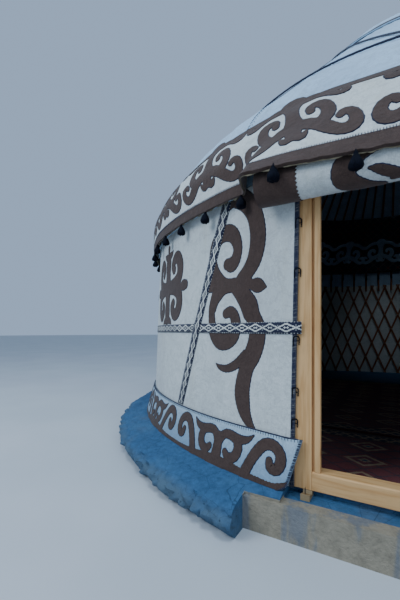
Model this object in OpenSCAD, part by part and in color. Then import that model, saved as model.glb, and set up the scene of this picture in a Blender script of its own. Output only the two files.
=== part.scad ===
// A felt-covered yurt on a low masonry plinth: a folding lattice wall, bent roof poles,
// a crown ring with crossed bows, felt covers with woven ties, and a pine door frame
// whose felt door is rolled up over the lintel. All lengths are in millimetres.
// The origin is on the ground under the middle of the room, and the door faces -Y.
// Heights of the yurt's own pieces are measured from the plinth's top face.

/* [Plinth] */
// Height of the plinth's top face over the ground
base_h = 210; // [120:10:320]
// Radius of the level top that the felt wall stands on
base_r = 3035; // [3030:5:3060]
// Width of the sloped apron outside the level top
apron_w = 110; // [80:5:160]
// Drop of the sloped apron
apron_drop = 25; // [10:1:40]
// How far the rounded mass of mortar swells beyond the apron
swell = 173; // [100:1:220]
// Height at which it swells the most
belly_z = 90; // [60:5:110]
// How far it draws in again at the ground
foot_tuck = 68; // [30:2:90]
// Half width of the straight notch cut for the doorstep
notch_half_w = 743; // [650:1:900]
// Distance of the notch's straight face from the middle of the room
notch_front = 3060; // [3050:1:3100]
// Depth of the pocket in front of the door frame
notch_drop = 34; // [20:1:60]

/* [Lattice wall] */
// Height of the lattice when opened out
lattice_h = 1760; // [1600:10:1900]
// Outer radius of the lattice at the floor
lattice_foot_r = 2942; // [2936:1:2944]
// How much smaller its outer radius is at the heads
lattice_lean = 65; // [40:1:75]
// Bar thickness, each of the two crossed layers
bar_t = 13; // [10:1:16]
// Bar width
bar_w = 30; // [24:1:36]
// Rows of diamonds between floor and heads
diamonds = 6; // [4:2:8]
// Number of heads in a full circle, as many as there are roof poles
heads = 80; // [72:4:88]
// Distance of the first and last crossing from the ends of the bars
head_rise = 24; // [16:1:30]

/* [Roof poles] */
// Pole radius at the lower end
pole_r = 17; // [14:1:18]
// Pole radius where it enters the crown ring
pole_tip_r = 13; // [10:1:14]
// Bending radius of the steamed lower end
bend_r = 930; // [900:1:1000]
// Slope of the straight part, in degrees
pole_slope = 41.5; // [39:0.5:43]
// Length of the flat palm that lies against the lattice
palm_l = 120; // [80:5:160]

/* [Crown] */
// Middle radius of the crown ring
ring_r = 752; // [700:1:800]
// Radial width of the ring's section
ring_w = 76; // [64:1:90]
// Height of the ring's section
ring_h = 90; // [80:1:110]
// How deep the pole tips sit in the ring
socket_depth = 46; // [30:1:55]
// Rise of the crossed bows over the ring
bow_rise = 270; // [220:5:320]
// Width of a bow
bow_w = 26; // [20:1:34]
// Depth of a bow
bow_t = 20; // [16:1:26]
// Spacing of the three parallel bows
bow_pitch = 82; // [60:1:100]
// Depth that a bow's end is let into the ring
bow_tenon = 12; // [8:1:14]
// How far the folded crown felt laps over the roof felt
cover_lap = 260; // [180:10:320]

/* [Door frame] */
// Distance of the frame's front face from the middle of the room
frame_front = 2890; // [2886:1:2894]
// Depth of the frame timbers
frame_d = 92; // [80:1:110]
// Half of the clear width between the stops
clear_half_w = 376; // [340:1:390]
// Width of the stop moulding beside the opening
stop_w = 44; // [36:1:54]
// Depth of the stop moulding
stop_d = 30; // [24:1:40]
// Width of the shadow groove at the stop's outer edge
groove_w = 14; // [6:1:16]
// Visible width of a jamb outside the stop
jamb_w = 128; // [120:1:134]
// Height of the sill
sill_h = 99; // [90:1:110]
// Height of the lintel
lintel_h = 130; // [110:1:150]
// Thickness of the tenons on the jamb heads
tenon_t = 30; // [24:1:36]
// Width of the planed bevel on the sill's front edge
eased_edge = 9; // [4:1:14]
// Width of the wedges under the corners of the frame
wedge_w = 48; // [36:2:60]
// Distance of a wedge's middle from the inner edge of its jamb
wedge_in = 21; // [14:1:30]
// Length of a wedge
wedge_l = 96; // [80:2:110]
// How far a wedge reaches out in front of the frame
wedge_out = 62; // [50:2:70]
// Slope of a wedge's upper face, in degrees
wedge_slope = 16; // [10:1:20]

/* [Felt covers] */
// Thickness of the wall and roof felt
felt_t = 12; // [8:1:14]
// Half width of the front roof felt at the eave, in degrees
front_felt_a = 19; // [17:1:20]
// Lower edge of the side and rear roof felts
roof_hem_z = 1712; // [1700:1:1730]
// How far the felt leans out from the poles at the eave, in degrees
eave_lean = 13.5; // [13:0.5:16]
// Half the gap between the wall felts at the foot of the door frame
felt_gap_foot = 517; // [505:1:530]
// Half the gap between the wall felts at their upper edge
felt_gap_head = 482; // [472:1:500]

/* [Skirt and bands] */
// Height of the embroidered skirt round the foot
skirt_h = 270; // [220:5:320]
// Thickness of the skirt
skirt_t = 14; // [10:1:16]
// How far the skirt stands out at the floor
skirt_flare = 62; // [45:1:64]
// Half the gap between the skirt ends at the floor
skirt_gap_foot = 552; // [549:1:560]
// Half the gap between the skirt ends at their upper edge
skirt_gap_head = 459; // [450:1:500]
// Lower edge of the woven girth band
girth_z = 837; // [700:1:1000]
// Width of the woven girth band
girth_w = 69; // [50:1:90]
// Thickness of a woven band
weave_t = 4; // [3:0.5:6]
// Half the gap between the ends of the girth band
girth_gap = 468; // [460:1:500]
// Width of the slanted woven bands
slant_w = 90; // [60:1:100]
// Bearing of the first slanted band at the eave, in degrees
slant_head_a = 20.3; // [19:0.1:24]
// Bearing of the first slanted band at the skirt, in degrees
slant_foot_a = 30.7; // [27:0.1:34]
// Number of slanted bands on each half of the yurt
slants_per_half = 4; // [2:1:5]

/* [Roof band] */
// Radius of the roof band where it hangs free at the eave
band_r = 2967; // [2955:1:2990]
// Thickness of the roof band
band_t = 12; // [8:1:14]
// Lower edge of the roof band
band_hem_z = 1695; // [1680:1:1705]
// Height of the rounded shoulder of the eave
shoulder_z = 1935; // [1915:1:1950]
// Height of the band's upper edge
band_top_z = 2205; // [2185:1:2225]
// Bearing where the front of the band starts to swell over the rolled door, in degrees
swell_a = 16.5; // [16:0.5:16.5]
// Lower edge of the band over the middle of the door
front_hem_z = 1632; // [1626:1:1645]
// Rise of the front hem above that at the ends of the rolled door
front_hem_rise = 46; // [36:1:56]
// How far the front of the band stands out at the shoulder
shoulder_swell = 26; // [16:1:34]

/* [Rolled door] */
// Radius of the rolled-up felt door
roll_r = 100; // [90:1:104]
// Length of the rolled-up felt door
roll_l = 1348; // [1300:1:1380]
// Height of the middle of the roll
roll_z = 1626; // [1615:1:1632]

/* [Trim] */
// Length of a wool tassel
tassel_l = 90; // [70:1:120]
// Widest radius of a wool tassel
tassel_r = 26; // [18:1:28]
// Number of tassels in a full circle
tassels = 54; // [36:2:60]
// Radius of the ropes over the roof
rope_r = 5; // [4:0.5:7]
// Heights of the ties that lace the wall felt to a jamb
tie_heights = [1440, 1170, 800, 520, 350];
// Radius of a tie's loop
tie_loop_r = 13; // [10:1:16]
// Radius of a tie's cord
tie_r = 3.5; // [2.5:0.5:4.5]
// Upper edge of the frieze hung inside the roof
frieze_top_z = 2870; // [2700:10:2900]
// Lower edge of the frieze hung inside the roof
frieze_hem_z = 2000; // [1990:10:2100]
// Thickness of the frieze
frieze_t = 5; // [4:0.5:7]
// Thickness of a rug
rug_t = 10; // [6:1:14]
// Width of the rug inside the door
entry_rug_w = 1500; // [1200:10:1700]
// Length of the rug inside the door
entry_rug_l = 1080; // [900:10:1150]
// Width of the large rug
main_rug_w = 3400; // [3000:10:3500]
// Length of the large rug
main_rug_l = 3000; // [2600:10:3100]

/* [Hidden] */

// Clearance between pieces that rest on each other
seat = 0.3;
// Facets of the large circles
round_fn = 180;
// Longer than anything, for cutting
far = 9000;
// How far stretches of one pole run into each other, and how much slimmer the inner one is
lap = 1;
shave = 0.1;
// Share by which a faceted skin is larger than the round that it lies on
facet_ease = 0.00005;

// Angle between neighbouring heads of the lattice
step = 360 / heads;
jamb_in = clear_half_w + stop_w;
jamb_out = jamb_in + jamb_w;
frame_back = frame_front - frame_d;
lintel_z = lattice_h - lintel_h;
lattice_head_r = lattice_foot_r - lattice_lean;
lattice_in_r = lattice_head_r - 2 * bar_t;
// The lattice starts beside the jamb, and its four sections meet at these bearings
lattice_start = asin((jamb_out + 2) / (lattice_foot_r - lattice_lean));
lattice_side = (lattice_start + 180) / 2;

// Middle of the circle that the poles are bent round
bend_c = [lattice_in_r - bend_r, lattice_h];
bend_a = 90 - pole_slope;
bend_end = bend_c + bend_r * [cos(bend_a), sin(bend_a)];

// Heights on the poles' line, at a distance d outside it
function line_z(d, r) = bend_end[1] + (bend_end[0] - r) * tan(pole_slope) + d / cos(pole_slope);
function bend_pt(d, phi) = bend_c + (bend_r + d) * [cos(phi), sin(phi)];

ring_out = ring_r + ring_w / 2;
ring_in = ring_r - ring_w / 2;
ring_z = line_z(0, ring_r);
ring_top = ring_z + ring_h / 2;
pole_l = (bend_end[0] - ring_out + socket_depth) / cos(pole_slope);
// Radius that the crown bows are bent to
bow_r = (pow(ring_r, 2) + pow(bow_rise, 2)) / 2 / bow_rise;

// Distances of the felts from the poles' middle line
roof_in = pole_r + seat;
roof_out = roof_in + felt_t;

// Outer radius of the wall felt, which leans with the lattice
wall_foot_r = lattice_foot_r + seat + felt_t;
function wall_r(z) = wall_foot_r - lattice_lean * z / lattice_h;
wall_h = lattice_h - 10;

// Outer face of the felt edges that lie flat over the jambs
flap_front = frame_front + seat + felt_t;
function felt_edge_x(z) = felt_gap_foot + (felt_gap_head - felt_gap_foot) * z / wall_h;
function felt_edge_a(z) = atan(felt_edge_x(z) / flap_front);
// Outer radius of the wall felt at a bearing: it lies flat over the jamb, runs straight
// from the jamb's corner to where it touches the lattice, and then follows the lattice
corner_a = atan(jamb_out / flap_front);
function felt_r(a, z) =
    let (corner_r = flap_front / cos(corner_a),
         touch_a = corner_a + (corner_r > wall_r(z) ? acos(wall_r(z) / corner_r) : 0))
    abs(a) < corner_a ? flap_front / cos(a)
    : abs(a) < touch_a ? wall_r(z) / cos(touch_a - abs(a))
    : wall_r(z);
// Bearings of the columns of a felt sheet, of which the first two lie over the jamb
corner_ease = 0.3;
function felt_bearing(first_a, last_a, columns, u) =
    let (flat = 2 / columns, turn_a = max(corner_a, first_a + corner_ease))
    u < flat ? mix(first_a, turn_a, u / flat)
    : mix(turn_a, last_a, (u - flat) / (1 - flat));

// Outer radius of the roof felt at a height in its bent part
function roof_r(z) = bend_c[0] + sqrt(pow(bend_r + roof_out, 2) - pow(z - bend_c[1], 2));

roll_y = flap_front + seat + roll_r;

// A point at a bearing from the door, a radius and a height
function at(a, r, z) = [r * sin(a), -r * cos(a), z];
function reverse(list) = [for (i = [len(list) - 1 : -1 : 0]) list[i]];
function mix(a, b, t) = a + (b - a) * t;

// Raises the yurt's own pieces onto the plinth
module on_base() translate([0, 0, base_h]) children();

// Turns a profile of [radius, height] about the middle, between two bearings
module swept(a0, a1, profile) {
    rotate([0, 0, a0 - 90])
        rotate_extrude(angle = a1 - a0, $fn = round_fn) polygon(profile);
}

// A closed skin between two grids of points, given as functions of u and v from 0 to 1
module skin(nu, nv, outer, inner) {
    n = (nu + 1) * (nv + 1);
    points = concat(
        [for (i = [0 : nu]) for (j = [0 : nv]) outer(i / nu, j / nv)],
        [for (i = [0 : nu]) for (j = [0 : nv]) inner(i / nu, j / nv)]);
    front = function(i, j) i * (nv + 1) + j;
    back = function(i, j) n + i * (nv + 1) + j;
    cells = [for (i = [0 : nu - 1]) for (j = [0 : nv - 1]) [i, j]];
    faces = concat(
        [for (c = cells) [front(c[0], c[1]), front(c[0], c[1] + 1),
                          front(c[0] + 1, c[1] + 1), front(c[0] + 1, c[1])]],
        [for (c = cells) [back(c[0], c[1]), back(c[0] + 1, c[1]),
                          back(c[0] + 1, c[1] + 1), back(c[0], c[1] + 1)]],
        [for (j = [0 : nv - 1]) [front(0, j + 1), front(0, j), back(0, j), back(0, j + 1)]],
        [for (j = [0 : nv - 1]) [front(nu, j), front(nu, j + 1), back(nu, j + 1), back(nu, j)]],
        [for (i = [0 : nu - 1]) [front(i, 0), front(i + 1, 0), back(i + 1, 0), back(i, 0)]],
        [for (i = [0 : nu - 1]) [front(i + 1, nv), front(i, nv), back(i, nv), back(i + 1, nv)]]);
    polyhedron(points = points, faces = faces, convexity = 6);
}

// The plinth and the pocket in front of the door
module plinth_profile() {
    edge_r = base_r + apron_w;
    edge_z = base_h - apron_drop;
    full_r = edge_r + swell;
    steps = 4;
    foot = [for (i = [0 : steps]) let (t = 1 - i / steps)
        [full_r - foot_tuck * t * t, belly_z * (1 - t)]];
    crest = [for (i = [1 : steps]) let (phi = 90 * i / steps)
        [edge_r + swell * cos(phi), mix(belly_z, edge_z, sin(phi))]];
    polygon(concat([[0, 0]], foot, crest, [[base_r, base_h], [0, base_h]]));
}

module plinth() color("slategray") {
    pocket_back = frame_front - 40;
    difference() {
        rotate_extrude($fn = 2 * round_fn) plinth_profile();
        translate([-notch_half_w, -far, -1]) cube([2 * notch_half_w, far - notch_front, far]);
        translate([-notch_half_w, -notch_front - 1, base_h - notch_drop])
            cube([2 * notch_half_w, notch_front + 1 - base_r - 2, far]);
        translate([1 - jamb_out, -base_r - 3, base_h - notch_drop])
            cube([2 * jamb_out - 2, base_r + 3 - pocket_back, far]);
    }
}

// Small blocks that take up the pocket under the corners of the frame
module frame_wedges() color("peru") on_base() for (side = [-1, 1])
    translate([side * (jamb_in + wedge_in) - wedge_w / 2, -frame_front - wedge_out,
               seat - notch_drop])
        difference() {
            cube([wedge_w, wedge_l, notch_drop - 2 * seat]);
            translate([-lap, -lap, notch_drop]) rotate([-wedge_slope, 0, 0])
                cube([wedge_w + 2 * lap, wedge_out, notch_drop]);
        }

// Timbers of the door frame
module timber(x0, x1, z0, z1, front, depth) {
    translate([x0, -front, z0]) cube([x1 - x0, depth, z1 - z0]);
}

module jamb(side) color("burlywood") on_base() {
    half = jamb_w / 2;
    mid = side * (jamb_in + half);
    timber(mid - half, mid + half, 0, lintel_z - seat, frame_front, frame_d);
    timber(mid - half * 0.5, mid + half * 0.5, lintel_z - 1, lintel_z + lintel_h * 0.6,
           frame_front - (frame_d - tenon_t) / 2, tenon_t);
}

module jamb_left() jamb(-1);
module jamb_right() jamb(1);

module sill() color("burlywood") on_base() difference() {
    timber(seat - jamb_in, jamb_in - seat, 0, sill_h, frame_front, frame_d);
    translate([0, -frame_front, sill_h]) rotate([45, 0, 0])
        cube([far, eased_edge, eased_edge], center = true);
}

module lintel() color("burlywood") on_base() {
    half = jamb_w / 4 + 2 * seat;
    difference() {
        timber(-jamb_out, jamb_out, lintel_z, lattice_h, frame_front, frame_d);
        for (side = [-1, 1]) let (mid = side * (jamb_in + jamb_w / 2))
            timber(mid - half, mid + half, lintel_z - 1, lintel_z + lintel_h * 0.6 + 2,
                   frame_front - (frame_d - tenon_t) / 2 + seat, tenon_t + 2 * seat);
    }
}

// A stop moulding with a shadow groove at the jamb, standing on the sill
stop_back = 4;
module stop(side) color("wheat") on_base() {
    x_in = side * clear_half_w;
    x_out = side * (jamb_in - seat);
    x_groove = side * (jamb_in - groove_w);
    z0 = sill_h + seat;
    z1 = lintel_z - stop_w - seat;
    difference() {
        timber(min(x_in, x_out), max(x_in, x_out), z0, z1, frame_front - stop_back, stop_d);
        timber(min(x_groove, side * far), max(x_groove, side * far), z0 - 1, z1 + 1,
               frame_front - stop_back + 1, stop_d * 0.6);
    }
}

module stop_left() stop(-1);
module stop_right() stop(1);

module stop_head() color("wheat") on_base()
    timber(seat - jamb_in, jamb_in - seat, lintel_z - stop_w, lintel_z - seat,
           frame_front - stop_back, stop_d);

// One ribbon of a lattice bar: a slab that passes through the head at bearing a
module bar_slab(a, dir) {
    rows_h = lattice_h - 2 * head_rise;
    rise = rows_h / diamonds / 2;
    run = PI * lattice_foot_r * step / 180 / 4;
    slope = atan(rise / run);
    rotate([0, 0, a - 90]) translate([lattice_foot_r - 40, 0, lattice_h / 2])
        rotate([dir * (90 - slope), 0, 0]) cube([300, bar_w, 2 * lattice_h], center = true);
}

module lattice_layer(depth, dir, a0, a1) {
    span = diamonds * step / 2;
    first = ceil((a0 - span) / step - 0.5);
    last = floor((a1 + span) / step - 0.5);
    outer = lattice_foot_r - depth;
    inner = outer - bar_t - (depth == 0 ? 0.5 : 0);
    intersection() {
        swept(a0, a1, [[inner, 0], [outer, 0], [outer - lattice_lean, lattice_h],
                       [inner - lattice_lean, lattice_h]]);
        union() for (k = [first : last]) bar_slab((k + 0.5) * step, dir);
    }
}

module lattice(a0, a1) color("sienna") on_base() union() {
    lattice_layer(0, 1, a0, a1);
    lattice_layer(bar_t, -1, a0, a1);
}

module lattice_front_right() lattice(lattice_start, lattice_side);
module lattice_rear_right() lattice(lattice_side, 180);
module lattice_rear_left() lattice(180, 360 - lattice_side);
module lattice_front_left() lattice(360 - lattice_side, 360 - lattice_start);

// A roof pole: a straight taper, a bent lower end and a palm against the lattice
module roof_pole(a, over_door) {
    rotate([0, 0, a - 90]) difference() {
        union() {
            translate([bend_c[0], 0, bend_c[1]]) rotate([90, 0, 0])
                rotate_extrude(angle = bend_a, $fn = 48) translate([bend_r, 0])
                    circle(r = pole_r, $fn = 24);
            translate([bend_end[0], 0, bend_end[1]]) rotate([0, pole_slope - 90, 0])
                translate([0, 0, -lap])
                    cylinder(h = pole_l + lap, r1 = pole_r - shave, r2 = pole_tip_r, $fn = 24);
            if (!over_door) translate([lattice_in_r, 0, lattice_h - palm_l])
                cylinder(h = palm_l + lap, r = pole_r - shave, $fn = 24);
        }
        if (!over_door) translate([0, 0, lattice_h + seat - far]) difference() {
            cylinder(h = far, r = lattice_foot_r, $fn = round_fn);
            translate([0, 0, -1]) cylinder(h = far + 2, r1 = palm_cut_r(seat - far),
                                           r2 = palm_cut_r(seat), $fn = round_fn);
        }
    }
}

// Radius of the face that the palms lie against, at a height over the heads
function palm_cut_r(z) = lattice_in_r - seat - lattice_lean * z / lattice_h - 4;

module roof_poles(first, last) color("sienna") on_base()
    for (k = [first : last]) let (a = (k + 0.5) * step)
        roof_pole(a, min(a, 360 - a) < lattice_start);

quarter = heads / 4;
module roof_poles_front() {
    roof_poles(0, quarter / 2 - 1);
    roof_poles(heads - quarter / 2, heads - 1);
}
module roof_poles_right() roof_poles(quarter / 2, 3 * quarter / 2 - 1);
module roof_poles_rear() roof_poles(3 * quarter / 2, 5 * quarter / 2 - 1);
module roof_poles_left() roof_poles(5 * quarter / 2, 7 * quarter / 2 - 1);

// The bent crown ring, bored for every pole
module crown_ring() color("firebrick") on_base() {
    chamfer = 16;
    difference() {
        rotate_extrude($fn = round_fn) polygon([
            [ring_in, ring_z - ring_h / 2 + chamfer], [ring_in + chamfer, ring_z - ring_h / 2],
            [ring_out - chamfer, ring_z - ring_h / 2], [ring_out, ring_z - ring_h / 2 + chamfer],
            [ring_out, ring_top - chamfer], [ring_out - chamfer, ring_top],
            [ring_in + chamfer, ring_top], [ring_in, ring_top - chamfer]]);
        for (k = [0 : heads - 1]) rotate([0, 0, (k + 0.5) * step - 90])
            translate([bend_end[0], 0, bend_end[1]]) rotate([0, pole_slope - 90, 0])
                translate([0, 0, pole_l - 2 * socket_depth])
                    cylinder(h = 2 * socket_depth + seat, r = pole_tip_r + 1, $fn = 24);
        intersection() {
            crown_bow_set(2 * seat);
            translate([-far / 2, -far / 2, ring_top - bow_tenon]) cube([far, far, far]);
        }
    }
}

// Six bows crossed three by three, halved into each other and let into the ring
module crown_bow(offset, grow) {
    half_a = asin(ring_r / bow_r) + 2;
    translate([0, offset, ring_top + bow_rise - bow_r]) rotate([90, 0, 0])
        rotate([0, 0, 90 - half_a]) rotate_extrude(angle = 2 * half_a, $fn = round_fn)
            translate([bow_r, 0]) square([bow_t + grow, bow_w + grow], center = true);
}

module crown_bow_set(grow) union() for (turn = [0, 90], i = [-1 : 1])
    rotate([0, 0, turn]) crown_bow(i * bow_pitch, grow);

module crown_bows() color("firebrick") on_base() difference() {
    crown_bow_set(0);
    translate([-far / 2, -far / 2, ring_top - bow_tenon + seat - far]) cube([far, far, far]);
}

// Felt wall covers
felt_side = 90;
module wall_felt_front(side) color("ivory") on_base() {
    columns = 30;
    chord = 1 / cos((felt_side - 10) / columns / 2);
    bearing = function(u, z) felt_bearing(felt_edge_a(z), felt_side, columns, u);
    skin(columns, 2,
         function(u, v) let (z = v * wall_h, a = bearing(side > 0 ? u : 1 - u, z))
             at(side * a, felt_r(a, z) * chord, z),
         function(u, v) let (z = v * wall_h, a = bearing(side > 0 ? u : 1 - u, z))
             at(side * a, (felt_r(a, z) - felt_t) * chord, z));
}

module wall_felt_rear(a0, a1) color("ivory") on_base()
    swept(a0, a1, [[wall_r(0) - felt_t, 0], [wall_r(0), 0], [wall_r(wall_h), wall_h],
                   [wall_r(wall_h) - felt_t, wall_h]]);

module wall_felt_front_left() wall_felt_front(-1);
module wall_felt_front_right() wall_felt_front(1);
module wall_felt_rear_right() wall_felt_rear(felt_side, 180);
module wall_felt_rear_left() wall_felt_rear(180, 360 - felt_side);

// The embroidered skirt stands on the plinth and leans against the wall felt
module skirt(side) color("ivory") on_base() {
    columns = 60;
    chord = 1 / cos(180 / columns / 2) + 4 * facet_ease;
    edge = function(v) atan(mix(skirt_gap_foot, skirt_gap_head, v) / flap_front);
    radius = function(a, v) (felt_r(a, v * skirt_h) + seat) * chord + skirt_flare * (1 - v);
    skin(columns, 2,
         function(u, v) let (a = felt_bearing(edge(v), 180, columns, side > 0 ? u : 1 - u))
             at(side * a, radius(a, v) + skirt_t, v * skirt_h),
         function(u, v) let (a = felt_bearing(edge(v), 180, columns, side > 0 ? u : 1 - u))
             at(side * a, radius(a, v), v * skirt_h));
}

module skirt_left() skirt(-1);
module skirt_right() skirt(1);

// Felt roof covers, from the crown ring down the poles to the eave
bend_steps = 8;
function roof_path(d, hem_z) = let (low = bend_pt(d, eave_lean)) concat(
    [[ring_out + seat, line_z(d, ring_out + seat)]],
    [for (i = [0 : bend_steps]) bend_pt(d, mix(bend_a, eave_lean, i / bend_steps))],
    [[low[0] + (low[1] - hem_z) * tan(eave_lean), hem_z]]);

module roof_felt(a0, a1, hem_z) color("ivory") on_base() {
    chord = (bend_r + roof_in) * (1 / cos((bend_a - eave_lean) / bend_steps / 2) - 1);
    swept(a0, a1, concat(roof_path(roof_in + chord, hem_z),
                         reverse(roof_path(roof_out + chord, hem_z))));
}

rear_felt_a = 132;
module roof_felt_front() roof_felt(-front_felt_a, front_felt_a, lattice_h + 2);
module roof_felt_right() roof_felt(front_felt_a, rear_felt_a, roof_hem_z);
module roof_felt_rear() roof_felt(rear_felt_a, 360 - rear_felt_a, roof_hem_z);
module roof_felt_left() roof_felt(360 - rear_felt_a, 360 - front_felt_a, roof_hem_z);

// The appliqued roof band: it lies on the roof felt and hangs free at the eave
band_ease = 0.8;
band_top_r = roof_r(band_top_z) + band_ease;
module roof_band(a0, a1) color("ivory") on_base()
    swept(a0, a1, [
        [band_top_r, band_top_z], [band_r - band_t, shoulder_z - 4], [band_r - band_t, band_hem_z],
        [band_r, band_hem_z], [band_r, shoulder_z], [band_top_r + band_t * 1.2, band_top_z]]);

module roof_band_right() roof_band(swell_a, 90);
module roof_band_rear() roof_band(90, 270);
module roof_band_left() roof_band(270, 360 - swell_a);

// Over the door the band swells out and drapes on the rolled door
function swelling(a) = let (t = max(0, 1 - abs(a) / swell_a)) t * t * (3 - 2 * t);
function front_hem(a) = let (end_a = 12, b = abs(a))
    b < end_a ? front_hem_z + front_hem_rise * pow(sin(90 * b / end_a), 2)
    : mix(front_hem_z + front_hem_rise, band_hem_z, (b - end_a) / (swell_a - end_a));
// It stays in front of the roll as far as its ends, and eases back beyond them
hem_end_a = 12.7;
hem_ease = 11;
function front_hem_r(a) =
    let (t = min(1, max(0, (swell_a - abs(a)) / (swell_a - hem_end_a))),
         reach = t * t * (3 - 2 * t))
    mix(band_r, (roll_y + roll_r + band_t + hem_ease) / cos(a), reach);
function front_band(a, v, d) =
    v < 0.5 ? at(a, mix(front_hem_r(a), band_r + shoulder_swell * swelling(a), v * 2) - d,
                 mix(front_hem(a), shoulder_z, v * 2))
    : at(a, mix(band_r + shoulder_swell * swelling(a) - d, band_top_r + (band_t - d) * 1.2,
                v * 2 - 1),
         mix(shoulder_z - d / 3, band_top_z, v * 2 - 1));

module roof_band_front() color("ivory") on_base()
    skin(28, 6, function(u, v) front_band(mix(-swell_a, swell_a, u), v, 0),
         function(u, v) front_band(mix(-swell_a, swell_a, u), v, band_t));

// Woven bands, the slanted ones lying over the girth band
girth_columns = 150;
girth_chord = 1 / cos(180 / girth_columns) + facet_ease;
module girth_band() color("midnightblue") on_base() {
    columns = girth_columns;
    start = atan(girth_gap / flap_front);
    radius = function(a, z) (felt_r(a > 180 ? 360 - a : a, z) + seat) * girth_chord;
    height = function(v) girth_z + v * girth_w;
    bearing = function(u) u > 0.5 ? 360 - felt_bearing(start, 180, columns / 2, 2 - 2 * u)
        : felt_bearing(start, 180, columns / 2, 2 * u);
    skin(columns, 1,
         function(u, v) let (a = bearing(u), z = height(v)) at(a, radius(a, z) + weave_t, z),
         function(u, v) let (a = bearing(u), z = height(v)) at(a, radius(a, z), z));
}

module slant_band(head_a, foot_a) {
    z0 = skirt_h + 6;
    z1 = band_hem_z + 20;
    half_a = slant_w / 2 / wall_foot_r * 180 / PI;
    radius = function(a, z) (felt_r(abs(a), z) + seat) * girth_chord + weave_t + seat;
    skin(1, 8,
         function(u, v) let (z = mix(z0, z1, v), a = mix(foot_a, head_a, v) + (2 * u - 1) * half_a)
             at(a, radius(a, z) + weave_t, z),
         function(u, v) let (z = mix(z0, z1, v), a = mix(foot_a, head_a, v) + (2 * u - 1) * half_a)
             at(a, radius(a, z), z));
}

module slant_bands() color("midnightblue") on_base()
    for (side = [-1, 1], i = [0 : slants_per_half - 1])
        let (turn = i * (180 - 2 * slant_head_a - 10) / (slants_per_half - 1))
            slant_band(side * (slant_head_a + turn), side * (slant_foot_a + turn));

// Wool tassels: over the door they lie against the rolled felt, and start a little
// above the hem of the band
tassel_tuck = 6;
function roll_face(z) = roll_y + sqrt(pow(roll_r, 2) - pow(max(0, z - roll_z), 2));
function tassel_rest(z) = seat + max(roll_face(z - tassel_l) + 0.9 * tassel_r,
                                     roll_face(z - 0.9 * tassel_l) + tassel_r);
module tassel(length, radius) {
    rotate_extrude($fn = 16) polygon([
        [0, 0], [3, -2], [3, -length * 0.14], [radius * 0.6, -length * 0.2],
        [radius * 0.6, -length * 0.34], [radius * 0.45, -length * 0.4],
        [radius, -length * 0.9], [radius * 0.9, -length], [0, -length]]);
}

module outer_tassels() color("black") on_base()
    for (k = [0 : tassels - 1]) let (turn = (k + 0.5) * 360 / tassels,
                                     a = turn > 180 ? turn - 360 : turn)
        translate(abs(a) > swell_a ? at(a, band_r - band_t / 2, band_hem_z - seat)
                  : abs(front_hem_r(a) * sin(a)) > roll_l / 2
                  ? at(a, front_hem_r(a) - band_t / 2, front_hem(a) - seat)
                  : [front_hem_r(a) * sin(a), -tassel_rest(front_hem(a)),
                     front_hem(a) + tassel_tuck])
            tassel(tassel_l, tassel_r);

// The felt door, rolled up over the lintel and sewn to the roof over it
module door_felt_roll() color("ivory") on_base() {
    translate([-roll_l / 2, -roll_y, roll_z]) rotate([0, 90, 0])
        cylinder(h = roll_l, r = roll_r, $fn = 72);
    flap_half = felt_gap_head - 10;
    timber(-flap_half, flap_half, roll_z, lattice_h - 46, flap_front + 6, felt_t + 5.5);
}

// The crown felt, folded back over the left half of the ring
cover_start_a = 178;
cover_end_a = 365;
module crown_cover() color("ivory") on_base() {
    clear_r = bow_r + bow_t / 2 + 4;
    mid_z = ring_top + bow_rise - bow_r;
    steps = 8;
    brim_a = acos((ring_out + 6) / clear_r);
    dome = function(d) [for (i = [0 : steps]) let (phi = mix(90, brim_a, i / steps))
        [0, mid_z] + (clear_r + d) * [cos(phi), sin(phi)]];
    lap_r = ring_out + cover_lap;
    lap_z = function(r, d) line_z(roof_out + 4 + d, r);
    inner = concat(dome(0), [[ring_out + 20, lap_z(ring_out + 20, 0)], [lap_r, lap_z(lap_r, 0)]]);
    outer = concat(dome(felt_t), [[ring_out + 20 + felt_t, lap_z(ring_out + 20, felt_t)],
                                  [lap_r, lap_z(lap_r, felt_t)]]);
    swept(cover_start_a, cover_end_a, concat(inner, reverse(outer)));
}

// A rope of eight sides through the given points, which lie in order
module rope(path, radius) {
    sides = 8;
    count = len(path);
    unit = function(v) v / norm(v);
    rings = [for (i = [0 : count - 1])
        let (ahead = unit(path[min(i + 1, count - 1)] - path[max(i - 1, 0)]),
             across = unit(cross(ahead, [0, 0, 1])), up = cross(across, ahead))
        for (k = [0 : sides - 1])
            path[i] + radius * (cos(k * 360 / sides) * across + sin(k * 360 / sides) * up)];
    faces = concat(
        [for (i = [0 : count - 2], k = [0 : sides - 1]) let (n = (k + 1) % sides)
            [i * sides + k, i * sides + n, (i + 1) * sides + n, (i + 1) * sides + k]],
        [[for (k = [sides - 1 : -1 : 0]) k],
         [for (k = [0 : sides - 1]) (count - 1) * sides + k]]);
    polyhedron(points = rings, faces = faces, convexity = 4);
}

// Ropes over the roof: one ties the crown felt down to another that is laid across the
// lower roof. Each is [bearing, radius, bearing, radius, stretches, ease over the felt]
roof_rope_ends = [[-38.2, 1090, 2.9, 2517, 14, 1.6], [-68, 2740, 9.1, 2740, 36, 2.1]];
module roof_ropes() color("saddlebrown") on_base()
    for (turn = [0 : 90 : 270], ends = roof_rope_ends) {
        p = at(ends[0] + turn, ends[1], 0);
        q = at(ends[2] + turn, ends[3], 0);
        rope([for (i = [0 : ends[4]]) let (s = mix(p, q, i / ends[4]))
                  [s[0], s[1], rope_z(norm(s), ends[5])]], rope_r);
    }

function rope_z(r, ease) = let (d = roof_out + ease + rope_r / cos(22.5) + seat)
    r < bend_end[0] ? line_z(d, r)
    : bend_c[1] + sqrt(pow(bend_r + d, 2) - pow(r - bend_c[0], 2));

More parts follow.
